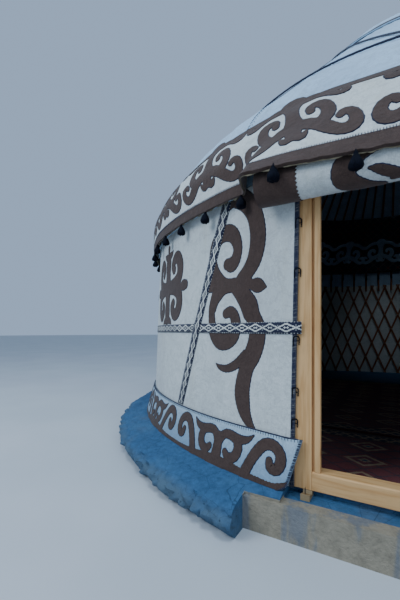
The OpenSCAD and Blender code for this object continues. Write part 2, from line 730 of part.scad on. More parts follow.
// Dark loops that lace the wall felt to the jambs
module jamb_ties() color("black") on_base() for (side = [-1, 1], z = tie_heights)
    translate([side * (felt_edge_x(z) - 2 * tie_loop_r), -frame_front - seat, z])
        rotate([0, 0, 180]) rotate_extrude(angle = 180, $fn = 24)
            translate([tie_loop_r, 0]) circle(r = tie_r, $fn = 16);

// The ornamented frieze hung inside the lower half of the roof
frieze_open = 26;
module inner_frieze() color("darkslategray") on_base() {
    path = function(d) let (low_a = asin((frieze_hem_z - bend_c[1]) / bend_r)) concat(
        [[bend_end[0] - (frieze_top_z - bend_end[1]) / tan(pole_slope) - d * 1.3,
          frieze_top_z]],
        [for (i = [0 : bend_steps]) bend_pt(-d, mix(bend_a, low_a, i / bend_steps))]);
    swept(frieze_open, 360 - frieze_open,
          concat(reverse(path(pole_r + seat)), path(pole_r + seat + frieze_t)));
}

module inner_tassels() color("firebrick") on_base() {
    low = bend_pt(-(pole_r + seat + frieze_t / 2), asin((frieze_hem_z - bend_c[1]) / bend_r));
    for (k = [6 : heads - 7]) translate(at((k + 0.5) * step, low[0] - 2, low[1] - seat))
        tassel(tassel_l * 1.4, tassel_r * 0.6);
}

// Rugs on the floor
module rug(w, l, y0) {
    translate([-w / 2, y0, 0]) cube([w, l, rug_t]);
}

module entry_rug() color("maroon") on_base() rug(entry_rug_w, entry_rug_l, -frame_back + 26);
module main_rug() color("maroon") on_base()
    rug(main_rug_w, main_rug_l, -frame_back + 26 + entry_rug_l + 20);

plinth();
sill();
jamb_left();
jamb_right();
lintel();
stop_left();
stop_right();
stop_head();
frame_wedges();
lattice_front_left();
lattice_front_right();
lattice_rear_left();
lattice_rear_right();
roof_poles_front();
roof_poles_left();
roof_poles_right();
roof_poles_rear();
crown_ring();
crown_bows();
wall_felt_front_left();
wall_felt_front_right();
wall_felt_rear_left();
wall_felt_rear_right();
skirt_left();
skirt_right();
roof_felt_front();
roof_felt_left();
roof_felt_right();
roof_felt_rear();
roof_band_front();
roof_band_left();
roof_band_right();
roof_band_rear();
girth_band();
slant_bands();
outer_tassels();
door_felt_roll();
crown_cover();
roof_ropes();
jamb_ties();
inner_frieze();
inner_tassels();
entry_rug();
main_rug();
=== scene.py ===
import math
import random

import bmesh
import bpy
from mathutils import Matrix, Vector, noise


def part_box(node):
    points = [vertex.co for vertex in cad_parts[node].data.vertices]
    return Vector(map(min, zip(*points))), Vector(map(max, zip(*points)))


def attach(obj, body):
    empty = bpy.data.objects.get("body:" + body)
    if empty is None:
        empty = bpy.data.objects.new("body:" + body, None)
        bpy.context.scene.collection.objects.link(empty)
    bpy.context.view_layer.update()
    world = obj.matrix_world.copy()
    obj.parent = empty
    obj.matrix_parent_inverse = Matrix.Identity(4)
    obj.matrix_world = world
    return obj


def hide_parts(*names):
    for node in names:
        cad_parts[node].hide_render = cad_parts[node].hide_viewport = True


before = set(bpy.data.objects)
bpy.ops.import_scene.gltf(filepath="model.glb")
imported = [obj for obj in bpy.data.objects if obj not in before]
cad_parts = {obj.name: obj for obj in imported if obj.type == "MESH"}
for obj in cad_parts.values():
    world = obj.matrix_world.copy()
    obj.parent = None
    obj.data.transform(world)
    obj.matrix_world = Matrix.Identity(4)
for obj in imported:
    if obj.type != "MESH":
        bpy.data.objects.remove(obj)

bl_info = {
    "name": "Felt yurt",
    "version": (1, 0, 0),
    "blender": (4, 5, 0),
    "location": "View3D > Sidebar > Yurt",
    "description": "Dresses the frame of a felt yurt with felts, ornament, bands and finishes",
    "category": "Add Mesh",
}

# Sizes in metres and bearings in degrees, from the part's source
PLINTH_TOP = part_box("sill")[0][2]
SEAT = 0.0003
LATTICE_H = 1.760
LEAN = 0.065
HEAD_STEP = 4.5
WALL_FOOT_R = 2.9543
WALL_H = 1.750
FRAME_FRONT = 2.890
FLAP_FRONT = 2.9023
EDGE_FOOT, EDGE_HEAD = 0.517, 0.482
JAMB_OUT = 0.548
SKIRT_H, SKIRT_T, SKIRT_FLARE = 0.270, 0.014, 0.062
SKIRT_EDGE_FOOT, SKIRT_EDGE_HEAD, SKIRT_CORNER = 0.520, 0.459, 0.050
GIRTH_Z, GIRTH_W, GIRTH_EDGE = 0.837, 0.069, 0.468
WEAVE_T = 0.004
SLANT_W, SLANT_HEAD, SLANT_FOOT, SLANT_TURN = 0.090, 20.3, 30.7, 43.133
RING_OUT = 0.790
BEND_C = (1.921, 1.760)
BEND_R = 0.930
SLOPE = 41.5
BEND_A = 48.5
EAVE_LEAN = 13.5
ROOF_IN, ROOF_OUT = 0.0173, 0.0293
FRONT_FELT_A, REAR_FELT_A = 19.0, 132.0
BAND_R, BAND_T, BAND_HEM = 2.967, 0.012, 1.695
BAND_TOP_R, BAND_TOP_Z = 2.7860, 2.205
SHOULDER_Z, SHOULDER_SWELL, SWELL_A = 1.935, 0.026, 16.5
FRONT_HEM, FRONT_HEM_RISE, FRONT_HEM_A = 1.632, 0.046, 12.0
# How far the sewn band sags at the door, bulges over the eave and leans its trees
TOP_SAG, TOP_SAG_A, BAND_BULGE, TREE_LEAN = 0.085, 9.0, 0.016, 0.30
BORDER_W, HEM_W = 0.072, 0.062
HEM_END_A, HEM_EASE = 12.7, 0.011
UPPER_RUN, BAND_RUN = 0.320, 0.560
ROLL_R, ROLL_L, ROLL_Y, ROLL_Z = 0.100, 1.348, 3.0026, 1.626
TASSELS, TASSEL_L, TASSEL_R = 54, 0.090, 0.026
BOW_HALF, BOW_RISE = 0.752, 0.270
BOW_R = (BOW_HALF ** 2 + BOW_RISE ** 2) / 2 / BOW_RISE
RING_TOP = 4.0809
COVER_LAP = 0.260
COVER_START, COVER_END, COVER_HEM_A = 178.0, 365.0, 3.5
FRIEZE_TOP, FRIEZE_HEM, FRIEZE_OPEN, FRIEZE_T = 2.870, 2.000, 26.0, 0.005
# Ornament of the frieze: how many trees, their distance from its ends, their width and height
FRIEZE_TREES, FRIEZE_END_A, FRIEZE_SPREAD, FRIEZE_TREE_Z = 24, 7, 1.12, 0.52
# Radii at which the flat lengths of the girth band, the roof felts and the frieze are measured
GIRTH_R, EAVE_R, FRIEZE_R = 2.93, 2.90, 2.65
# Brown border at both ends of the roll, with the depth and number of its pinked teeth
ROLL_HEM_IN, ROLL_HEM_OUT, TOOTH_DEPTH, TEETH = 0.447, 0.673, 0.010, 46
BASE_R = 3.035
# Seed of the noise that shifts the cobbles, which would otherwise follow the clock
COBBLE_SEED = 1795695474
NOTCH_HALF, NOTCH_FRONT, NOTCH_DROP = 0.743, 3.060, 0.034
POCKET_HALF, POCKET_BACK = 0.547, 2.850
TIE_HEIGHTS = (1.440, 1.170, 0.800, 0.520, 0.350)
BEND_END = (BEND_C[0] + BEND_R * math.cos(math.radians(BEND_A)),
            BEND_C[1] + BEND_R * math.sin(math.radians(BEND_A)))
CORNER_A = math.degrees(math.atan(JAMB_OUT / FLAP_FRONT))
# Bearing of a metre along the wall, the skirt and the roof band
WALL_DEG = 1 / 0.0515
SKIRT_DEG = 1 / 0.0526
BAND_DEG = math.degrees(1 / BAND_R)
# Height, spacing and radius of the lattice's crossings, and the bearing of the door's edge
CROSSING_Z, CROSSING_PITCH, CROSSING_R, DOOR_EDGE_A = 0.880, 0.28533, 2.916, 12.5
HEADS = 80
# Bearings of the scroll beside the door, of the first rosette and from one to the next
SCROLL_A, ROSETTE_A, ROSETTE_STEP, ROSETTE_Z = 18.6, 38.6, 23.567, 1.235
ROSETTES = 13
# Bearing of the first wave of a skirt and of the first tree of the band, and their spacing
WAVE_A, WAVE_STEP, WAVES = 19.9, 20.01, 9
TREE_A, TREE_STEP, TREES = -9.3, 13.3333, 27
# Bearing where a tree leans in full, where no tree leans any more, over how many degrees
# the lean fades before that, and the height of the point that a leaning tree turns about
LEAN_FULL_A, LEAN_END_A, LEAN_FADE_A, LEAN_Z = 8, 62, 28, 0.40
# Flat lengths of the wall felts
WALL_FRONT_L, WALL_REAR_L = 4.12, 4.65
# Ropes over the roof, as bearing and radius at both ends
ROPE_ENDS = ((-38.2, 1.090, 2.9, 2.517), (-68, 2.740, 9.1, 2.740))

# Camera fitted to the photo: its place, its turn, its lens and the shift of the picture
CAMERA_PLACE, CAMERA_TURN, CAMERA_LENS, CAMERA_SHIFT = (-0.032, -4.713, 1.071), 30.7, 19.8, 0.0497
SKY_COLOUR, SKY_STRENGTH = (0.52, 0.71, 1.0, 1), 0.64
# Lamps, each with its place, the point it looks at, its width, its power and its colour
LAMPS = {"key": ((-5.5, -9.0, 6.5), (-1.0, -2.5, 1.2), 5.0, 500, (0.76, 0.88, 1.0)),
         "fill": ((7.0, -8.0, 4.0), (0.5, -2.8, 1.0), 6.0, 190, (0.70, 0.84, 1.0)),
         "crown": ((0.8, -6.0, 11.0), (0.2, 2.6, 1.6), 4.0, 480, (0.72, 0.86, 1.0))}

# Strokes of brown felt, as points of [x, y, width]
WALL_SCROLL = [
    [(-.072, 1.665, .03), (-.031, 1.70, .09), (.036, 1.70, .12), (.108, 1.65, .12), (.165, 1.57, .117),
     (.193, 1.47, .119), (.193, 1.38, .119), (.167, 1.29, .112), (.118, 1.225, .10), (.062, 1.18, .09)],
    [(-.211, 1.168, .075), (-.232, 1.248, .07), (-.227, 1.348, .08), (-.201, 1.448, .095),
     (-.144, 1.498, .105), (-.072, 1.506, .11), (-.010, 1.468, .095), (.024, 1.388, .076),
     (.005, 1.318, .085), (-.031, 1.29, .10), (-.072, 1.296, .075)],
    [(-.191, 1.098, .07), (-.221, 1.018, .062), (-.219, .928, .066), (-.198, .848, .09),
     (-.139, .792, .11), (-.072, .788, .115), (-.010, .824, .11), (.018, .888, .085),
     (.005, .948, .075), (-.031, .978, .07), (-.075, .968, .06)],
    [(-.256, 1.165, .08), (-.19, 1.165, .078), (-.16, 1.16, .065), (-.10, 1.152, .085),
     (0, 1.15, .09), (.11, 1.15, .09), (.145, 1.14, .06), (.185, 1.132, .083), (.225, 1.122, .07),
     (.268, 1.112, 0)],
    [(.062, 1.12, .09), (.10, 1.078, .085), (.146, 1.02, .095), (.160, .948, .11), (.196, .868, .118),
     (.191, .788, .12), (.160, .708, .12), (.118, .628, .105), (.088, .508, .112), (.090, .428, .11),
     (.113, .348, .085), (.154, .288, .05), (.201, .258, 0)],
    [(.110, .708, .06), (.031, .642, .055), (-.05, .608, .045), (-.12, .612, .03), (-.16, .634, 0)],
    [(-.213, 1.34, .05), (-.198, 1.27, .075), (-.158, 1.215, .08), (-.09, 1.175, .06), (0, 1.16, .06)],
    [(-.205, 1.0, .05), (-.19, 1.055, .07), (-.15, 1.10, .075), (-.09, 1.13, .06), (0, 1.14, .06)],
    [(0, 1.125, .06), (.05, 1.08, .075), (.092, 1.02, .075), (.118, .95, .06)],
]
ROSETTE_HORN = [(.10, .01, .10), (.20, .025, .11), (.28, .06, .12), (.308, .115, .12),
                (.302, .175, .12), (.265, .228, .11), (.21, .245, .10), (.165, .222, .095),
                (.142, .18, .09), (.168, .145, .08)]
ROSETTE_LEAF = [(0, .25, .10), (.05, .285, .07), (.10, .30, .04), (.13, .325, 0)]
ROSETTE_BAR = [(0, 0, .13), (.2, -.004, .11), (.30, -.008, .06), (.335, -.01, .045),
               (.365, -.012, .08), (.40, -.012, .085), (.43, -.012, .07)]
ROSETTE_STEM = [(0, 0, .17), (0, .12, .13), (0, .24, .14), (0, .31, .04), (0, .325, .045),
                (0, .36, .06)]
SKIRT_STROKES = [
    [(0, .14, .06), (.044, .195, .05), (.094, .203, .052), (.147, .192, .055), (.197, .194, .045),
     (.24, .208, .03), (.278, .24, 0)],
    [(.150, .19, .055), (.172, .148, .062), (.164, .105, .06), (.136, .078, .055),
     (.098, .076, .05), (.072, .098, .038)],
    [(.243, .02, .065), (.272, .09, .06), (.31, .157, .062), (.355, .205, .06), (.41, .214, .057),
     (.458, .184, .058), (.468, .134, .06), (.446, .098, .056), (.41, .10, .05), (.398, .13, .04)],
]
SKIRT_TRUNK = [(0, 0, .17), (0, .04, .095), (0, .10, .075), (0, .17, .07)]
BAND_STROKES = [
    [(0, .31, .09), (.06, .31, .085), (.125, .345, .08), (.175, .392, .075), (.222, .425, .066),
     (.268, .425, .062), (.302, .388, .058), (.297, .338, .054), (.265, .318, .048), (.238, .338, .036)],
    [(.135, .35, .075), (.182, .30, .075), (.196, .245, .072), (.180, .192, .07), (.143, .168, .066),
     (.108, .185, .055), (.106, .22, .045)],
    [(0, .33, .08), (.022, .395, .055), (.052, .40, .045), (.080, .362, 0)],
    [(.10, .02, .07), (.16, .035, .07), (.215, .07, .066), (.262, .118, .058), (.30, .122, .05),
     (.315, .095, .045)],
]
BAND_TRUNK = [(0, .03, .20), (0, .07, .13), (0, .14, .085), (0, .22, .085), (0, .29, .12),
              (0, .38, .08)]
ROLL_STROKES = [
    [(0, .07, .10), (-.10, .068, .10), (-.19, .025, .105), (-.238, -.04, .10), (-.225, -.105, .10),
     (-.16, -.155, .09), (-.09, -.17, .05)],
    [(-.14, -.055, 0), (-.10, -.066, .036), (-.055, -.092, .048), (-.01, -.116, .042),
     (.04, -.13, .025)],
]


def paint(red, green, blue):
    """A colour picker's 0 to 255 as the linear colour that shaders take."""
    def linear(value):
        share = value / 255
        return share / 12.92 if share <= 0.04045 else ((share + 0.055) / 1.055) ** 2.4
    return (linear(red), linear(green), linear(blue))


def colour_prop(name, description, default):
    return bpy.props.FloatVectorProperty(
        name=name, description=description, default=default, size=3, min=0, max=1,
        subtype="COLOR")


def length_prop(name, description, default):
    return bpy.props.FloatProperty(
        name=name, description=description, default=default, min=0, unit="LENGTH")


class YurtSizes(bpy.types.PropertyGroup):
    """Sizes of the felts and of what is sewn on them."""
    felt: length_prop("Felt", "Thickness of the wall and roof felts", BAND_T)
    applique: length_prop("Applique", "How far the brown felt stands on the white", 0.003)
    edging: length_prop("Edging", "How far the thread round the brown felt shows", 0.0035)
    ripple: length_prop("Ripple", "How far the wall felt waves", 0.0025)
    sag: length_prop("Sag", "How far the roof felt sinks between poles", 0.007)
    cell: length_prop("Cell", "Length of a cell of the felts' meshes", 0.045)
    stitch: length_prop("Stitch", "Distance between whip stitches", 0.0115)
    rough: length_prop("Masonry relief", "How far the plinth's rendering is uneven", 0.024)
    ease: length_prop("Eased edge", "Width of the planed edges of the timbers", 0.003)
    knot: length_prop("Knot", "Radius of the rawhide knots of the lattice", 0.008)


class YurtColours(bpy.types.PropertyGroup):
    """Colours of the finishes."""
    wool: colour_prop("Wool", "White felt of the walls", paint(214, 217, 214))
    # Roof wool: weathered felt whose blue tint is painted skylight.
    skylit_roof_wool: colour_prop("Roof wool", "Weathered felt of the roof", paint(180, 206, 228))
    brown: colour_prop("Brown wool", "Felt of the ornament", paint(82, 64, 57))
    navy: colour_prop("Navy thread", "Threads and woven bands", paint(26, 30, 52))
    cotton: colour_prop("Cotton", "White threads of the bands", paint(222, 220, 210))
    pine: colour_prop("Pine", "Timbers of the door frame", paint(212, 166, 112))
    willow: colour_prop("Willow", "Stained bars and poles", paint(134, 84, 54))
    crown: colour_prop("Crown", "Painted wood of the crown", paint(150, 58, 40))
    mortar: colour_prop("Mortar", "Blue wash on the plinth", paint(58, 100, 138))
    concrete: colour_prop("Concrete", "Bare face of the notch", paint(150, 140, 122))
    black: colour_prop("Black wool", "Tassels and ties", paint(10, 13, 24))
    canvas: colour_prop("Canvas", "Lining of the roof band", paint(132, 122, 100))
    madder: colour_prop("Madder", "Ground of the rugs", paint(118, 32, 38))


# Finishes
class Wire:
    """The output of a node, on which sums are written as on a number."""

    def __init__(self, finish, socket):
        self.finish = finish
        self.socket = socket

    def maths(self, operation, *values):
        return self.finish.add("Math", {"operation": operation}, values)

    def __add__(self, other):
        return self.maths("ADD", self, other)

    def __radd__(self, other):
        return self.maths("ADD", other, self)

    def __sub__(self, other):
        return self.maths("SUBTRACT", self, other)

    def __rsub__(self, other):
        return self.maths("SUBTRACT", other, self)

    def __mul__(self, other):
        return self.maths("MULTIPLY", self, other)

    def __rmul__(self, other):
        return self.maths("MULTIPLY", other, self)

    def __truediv__(self, other):
        return self.maths("DIVIDE", self, other)

    def __lt__(self, other):
        return self.maths("LESS_THAN", self, other)

    def __gt__(self, other):
        return self.maths("GREATER_THAN", self, other)

    def __abs__(self):
        return self.maths("ABSOLUTE", self)

    def fract(self):
        return self.maths("FRACT", self)

    def snapped(self, pitch):
        return self.maths("SNAP", self, pitch)

    def wave(self, period):
        """A triangle wave from 0 to 1 and back over each period."""
        return abs((self / period).fract() * 2 - 1)

    def most(self, other):
        return self.maths("MAXIMUM", self, other)

    def ramp(self, low, high, bottom=0.0, top=1.0):
        return self.finish.add("MapRange", {"interpolation_type": "SMOOTHSTEP"},
                               (self, low, high, bottom, top))


class Finish:
    """A material and its nodes."""

    def __init__(self, name):
        self.material = bpy.data.materials.new(name)
        self.material.use_nodes = True
        self.nodes = self.material.node_tree.nodes
        self.links = self.material.node_tree.links
        self.shader = self.nodes["Principled BSDF"]

    def add(self, kind, settings, values, output=0):
        """Adds a node of a kind, with its settings first and then its sockets."""
        node = self.nodes.new("ShaderNode" + kind)
        for key, value in settings.items():
            setattr(node, key, value)
        pairs = values.items() if isinstance(values, dict) else enumerate(values)
        for key, value in pairs:
            self.join(node.inputs[key], value)
        return Wire(self, node.outputs[output])

    def join(self, socket, value):
        if isinstance(value, Wire):
            self.links.new(value.socket, socket)
        elif socket.type == "RGBA" and len(value) == 3:
            socket.default_value = (*value, 1)
        else:
            socket.default_value = value

    def place(self, output="Object"):
        return self.add("TexCoord", {}, (), output)

    def axis(self, vector, index):
        return self.add("SeparateXYZ", {}, (vector,), index)

    def stretch(self, vector, scales):
        return self.add("VectorMath", {"operation": "MULTIPLY"}, (vector, scales))

    def noise(self, vector, scale, detail=3.0, rough=0.5, warp=0.0):
        return self.add("TexNoise", {}, {"Vector": vector, "Scale": scale, "Detail": detail,
                                         "Roughness": rough, "Distortion": warp})

    def cells(self, vector, scale, feature="F1"):
        return self.add("TexVoronoi", {"feature": feature}, {"Vector": vector, "Scale": scale})

    def blend(self, share, first, second, kind="MIX"):
        return self.add("Mix", {"data_type": "RGBA", "blend_type": kind},
                        {0: share, 6: first, 7: second}, 2)

    def coat(self, colour, roughness, height=None, depth=0.001, strength=1.0, **constants):
        """Puts colour, roughness and relief on the shader."""
        self.join(self.shader.inputs["Base Color"], colour)
        self.join(self.shader.inputs["Roughness"], roughness)
        if height is not None:
            bump = self.add("Bump", {}, {"Strength": strength, "Distance": depth,
                                         "Height": height})
            self.join(self.shader.inputs["Normal"], bump)
        for name, value in constants.items():
            self.join(self.shader.inputs[name.replace("_", " ")], value)


def tone(colour, share):
    """A colour made darker or lighter by a share."""
    return tuple(min(1.0, part * share) for part in colour)


def tinted(colour, shares):
    """A colour with each of its three parts made darker or lighter by its own share."""
    return tuple(a * b for a, b in zip(colour, shares))


def felt_finish(finish, wool, dark, stains, fleck, low_shade_and_splash=0.0):
    """Pressed wool: fibres, small dents, rain stains, yellowed places, painted shade along creases, and
    low down a bluish darkening that is painted shade near the ground as well as spattered dirt.
    """
    place = finish.place()
    fibres = finish.noise(place, 260, 3, 0.7, 1.5)
    hairs = finish.noise(finish.stretch(place, (1, 1, 0.3)), 90, 4, 0.7, 2.5)
    dents = finish.noise(place, 22, 3, 0.6)
    streaks = finish.noise(finish.stretch(place, (5, 5, 0.7)), 1.4, 5, 0.6)
    creases = finish.noise(finish.stretch(place, (1, 1, 1.6)), 4.5, 6, 0.72, 0.6)
    clouds = finish.noise(place, 1.6, 5, 0.62)
    colour = finish.blend(hairs.ramp(0.35, 0.7) * fleck, wool, dark)
    colour = finish.blend(clouds.ramp(0.4, 0.75) * stains, colour, tone(wool, 0.72))
    colour = finish.blend(streaks.ramp(0.52, 0.8) * stains, colour,
                          tinted(wool, (0.74, 0.70, 0.60)))
    colour = finish.blend(dents.ramp(0.3, 0.75, 0.0, 0.22), colour, tone(dark, 0.9))
    # Crease lines: painted shade in the folds of the felt.
    colour = finish.blend(abs(creases - 0.5).ramp(0.0, 0.035, 0.3, 0.0), colour, tone(dark, 0.75))
    # Low down: a bluish darkening towards the plinth, painted shade near the ground that also stands for
    # spattered dirt.
    if low_shade_and_splash:
        low = finish.axis(place, 2).ramp(PLINTH_TOP, PLINTH_TOP + 0.34, low_shade_and_splash, 0.0)
        colour = finish.blend(low * clouds.ramp(0.2, 0.7, 0.6, 1.0), colour,
                              tinted(wool, (0.26, 0.38, 0.50)))
    finish.coat(colour, fibres.ramp(0.2, 0.8, 0.88, 0.98),
                fibres * 0.5 + hairs * 0.8 + dents * 2.2 + creases * 2.0,
                0.0035, 0.6, Sheen_Weight=0.12, Sheen_Roughness=0.5, Specular_IOR_Level=0.2)


def white_felt(finish, colours):
    wool = tuple(colours.wool)
    # A little bluish darkening at the foot: painted shade near the ground, also standing for spattered
    # dirt.
    felt_finish(finish, wool, tone(wool, 0.62), 0.55, 0.55, 0.25)


def skirt_felt(finish, colours):
    # The skirt's wool is tinted blue and darkened strongly towards its foot: painted blue shade near the
    # ground, also standing for spattered dirt.
    wool = tinted(colours.wool, (0.68, 0.84, 1.0))
    felt_finish(finish, wool, tone(wool, 0.6), 0.6, 0.6, 0.75)


def roof_felt(finish, colours):
    # The blue of the roof wool is painted skylight on the weathered felt.
    wool = tuple(colours.skylit_roof_wool)
    felt_finish(finish, wool, tone(wool, 0.62), 0.7, 0.5)


def brown_felt(finish, colours):
    wool = tuple(colours.brown)
    felt_finish(finish, wool, tone(wool, 0.45), 0.4, 0.7)


def wood_finish(finish, wood, along, rings, dirt):
    """Sawn wood with its grain along an axis, knots and grey handling marks."""
    place = finish.place()
    scales = [1.0 if index == along else 14.0 for index in range(3)]
    run = finish.stretch(place, scales)
    drift = finish.noise(finish.stretch(place, [0.6 if s == 1.0 else 3.0 for s in scales]), 1.6, 3)
    grain = ((finish.noise(run, 0.9, 4, 0.55, 0.4) + drift * 0.8) * rings).wave(1.0)
    pores = finish.noise(finish.stretch(place, [2.0 if s == 1.0 else 60.0 for s in scales]), 5, 3, 0.7)
    knots = finish.cells(finish.stretch(place, [0.55 if s == 1.0 else 1.0 for s in scales]), 4.2)
    knot = knots.ramp(0.05, 0.10, 1.0, 0.0)
    marks = finish.noise(place, 3.2, 5, 0.65)
    colour = finish.blend(grain.ramp(0.3, 1.0, 0.0, 0.55), wood,
                          tinted(wood, (0.72, 0.58, 0.42)))
    colour = finish.blend(pores.ramp(0.5, 0.8, 0.0, 0.35), colour, tone(wood, 0.4))
    colour = finish.blend(knot * 0.75, colour, tinted(wood, (0.42, 0.24, 0.14)))
    colour = finish.blend(marks.ramp(0.5, 0.82) * dirt, colour, tone(wood, 0.35))
    finish.coat(colour, pores.ramp(0.2, 0.8, 0.5, 0.72), grain * 0.5 + pores - knot * 0.6,
                0.0012, 0.4, Specular_IOR_Level=0.4)


def pine_upright(finish, colours):
    wood_finish(finish, tuple(colours.pine), 2, 5.0, 0.55)


def pine_across(finish, colours):
    wood_finish(finish, tuple(colours.pine), 0, 5.0, 0.45)


def old_pine(finish, colours):
    """Weathered offcuts under the corners of the frame."""
    wood = tinted(colours.pine, (0.42, 0.52, 0.66))
    wood_finish(finish, wood, 0, 5.0, 0.7)


def willow(finish, colours):
    wood_finish(finish, tuple(colours.willow), 2, 2.0, 0.5)


def crown_wood(finish, colours):
    wood_finish(finish, tuple(colours.crown), 0, 1.2, 0.6)


def masonry(finish, colours):
    """Cobbles set in mortar under a blue wash, with the bare concrete of the notch."""
    wash, bare = tuple(colours.mortar), tuple(colours.concrete)
    place = finish.place()
    grit = finish.noise(place, 160, 4, 0.7)
    lumps = finish.noise(place, 26, 5, 0.65)
    clouds = finish.noise(place, 3.5, 5, 0.6)
    patches = finish.noise(place, 1.2, 4, 0.6)
    chips = finish.cells(place, 46)
    cracks = finish.cells(finish.stretch(place, (1, 1, 2)), 6.5, "DISTANCE_TO_EDGE")
    holes = finish.cells(finish.stretch(place, (1, 1, 1.3)), 24)
    deep = tone(wash, 0.62)
    colour = finish.blend(lumps.ramp(0.25, 0.75), deep, wash)
    colour = finish.blend(clouds.ramp(0.45, 0.75, 0.0, 0.6), colour,
                          tinted(wash, (1.5, 1.25, 1.1)))
    colour = finish.blend(patches.ramp(0.6, 0.8, 0.0, 0.45), colour,
                          tinted(bare, (0.50, 0.58, 0.66)))
    colour = finish.blend(chips.ramp(0.0, 0.16, 0.45, 0.0), colour, tone(wash, 0.4))
    colour = finish.blend(cracks.ramp(0.0, 0.012, 0.75, 0.0), colour, tone(wash, 0.3))
    foot = finish.axis(place, 2).ramp(0.10, 0.17, 1.0, 0.0)
    colour = finish.blend(foot * clouds.ramp(0.3, 0.6, 0.25, 0.7), colour, paint(84, 102, 112))
    # Holes at the foot of the plinth: near-black spots, painted shade in the holes.
    colour = finish.blend(foot * holes.ramp(0.0, 0.22, 0.9, 0.0), colour, tone(wash, 0.12))
    face = (finish.axis(place, 1) > -NOTCH_FRONT - 0.008) * (finish.axis(place, 1) < -BAND_R) \
        * (abs(finish.axis(place, 0)) < NOTCH_HALF + 0.004) * (finish.axis(place, 2) < PLINTH_TOP - 0.02)
    drips = finish.noise(finish.stretch(place, (9, 9, 1.5)), 1.0, 4, 0.6).ramp(0.48, 0.6)
    cast = finish.blend(lumps.ramp(0.3, 0.8, 0.0, 0.7), bare, tone(bare, 0.55))
    cast = finish.blend(drips * 0.4, cast, tone(wash, 0.8))
    colour = finish.blend(face, colour, cast)
    finish.coat(colour, grit.ramp(0.2, 0.8, 0.8, 0.95), grit * 0.4 + lumps * 1.6 - chips * 0.3,
                0.010, 0.6, Specular_IOR_Level=0.25)


def woven_finish(finish, colours, width, thread, period, reach):
    """A narrow band woven in two colours, in whole threads, on a UV map in metres."""
    place = finish.place("UV")
    across = abs(finish.axis(place, 0).snapped(thread)) / (width / 2)
    along = finish.axis(place, 1).snapped(thread)
    wave = along.wave(period)
    line = abs(across - wave * reach) < 0.12
    core = (abs(across - wave * reach) > 0.36) * (across < reach * 0.8) \
        * (abs(across - (1 - wave) * reach * 0.55) < 0.09)
    dots = (across > 0.80) * (across < 0.93) * (along.wave(thread * 4) < 0.5)
    pattern = (line * (across < reach + 0.06)).most(core).most(dots)
    slub = finish.noise(place, 300, 2, 0.6)
    rib = finish.axis(place, 1).wave(thread * 0.6) * 0.5 + finish.axis(place, 0).wave(thread) * 0.5
    worn = finish.noise(finish.place(), 6, 4, 0.6)
    white = finish.blend(worn.ramp(0.4, 0.8), tuple(colours.cotton), tone(tuple(colours.cotton), 0.6))
    dark = finish.blend(slub.ramp(0.3, 0.8), tone(tuple(colours.navy), 0.7),
                        tone(tuple(colours.navy), 1.9))
    finish.coat(finish.blend(pattern, dark, white), 0.9, rib + slub * 0.5 + pattern * 0.5, 0.0015,
                0.6, Sheen_Weight=0.15, Specular_IOR_Level=0.25)


def girth_weave(finish, colours):
    woven_finish(finish, colours, GIRTH_W, 0.0045, 0.108, 0.64)


def slant_weave(finish, colours):
    woven_finish(finish, colours, SLANT_W, 0.005, 0.080, 0.50)


def black_wool(finish, colours):
    wool = tuple(colours.black)
    place = finish.place()
    strands = finish.noise(finish.stretch(place, (1, 1, 0.08)), 420, 3, 0.6)
    tint = finish.noise(place, 40, 3)
    colour = finish.blend(strands.ramp(0.35, 0.8), tone(wool, 0.5), tone(wool, 2.4))
    colour = finish.blend(tint.ramp(0.4, 0.8, 0.0, 0.5), colour, tone(wool, 1.3))
    finish.coat(colour, 0.95, strands, 0.002, 0.7, Specular_IOR_Level=0.12)


def thread_finish(finish, wool):
    place = finish.place()
    twist = finish.noise(place, 320, 3, 0.6)
    tint = finish.noise(place, 9, 4, 0.6)
    colour = finish.blend(twist.ramp(0.3, 0.75), tone(wool, 0.55), tone(wool, 1.7))
    colour = finish.blend(tint.ramp(0.4, 0.8, 0.0, 0.6), colour, tone(wool, 2.2))
    finish.coat(colour, 0.85, twist, 0.0015, 0.7, Sheen_Weight=0.2, Specular_IOR_Level=0.25)


def navy_thread(finish, colours):
    thread_finish(finish, tuple(colours.navy))


def edge_thread(finish, colours):
    """Close blanket stitches in dark and undyed wool, on a UV map in metres."""
    place = finish.place("UV")
    lean = finish.axis(place, 1) + finish.axis(place, 0) * 0.35
    row = lean.snapped(0.006)
    pick = finish.add("TexWhiteNoise", {"noise_dimensions": "1D"}, {"W": row * 37.0})
    speck = finish.noise(place, 170, 3, 0.7)
    navy, cotton = tuple(colours.navy), tuple(colours.cotton)
    colour = finish.blend((pick * 0.4 + speck * 0.9).ramp(0.58, 1.1), tone(navy, 1.3),
                          tone(cotton, 0.32))
    finish.coat(colour, 0.9, lean.wave(0.006) + speck, 0.0018, 0.7, Sheen_Weight=0.2,
                Specular_IOR_Level=0.2)


def canvas(finish, colours):
    place = finish.place()
    weave = finish.noise(place, 300, 2, 0.6)
    clouds = finish.noise(place, 7, 4, 0.6)
    colour = finish.blend(clouds.ramp(0.35, 0.7), tuple(colours.canvas),
                          tone(tuple(colours.canvas), 0.5))
    finish.coat(colour, 0.9, weave, 0.001, 0.5, Specular_IOR_Level=0.2)


def rawhide(finish, colours):
    thread_finish(finish, paint(168, 140, 104))


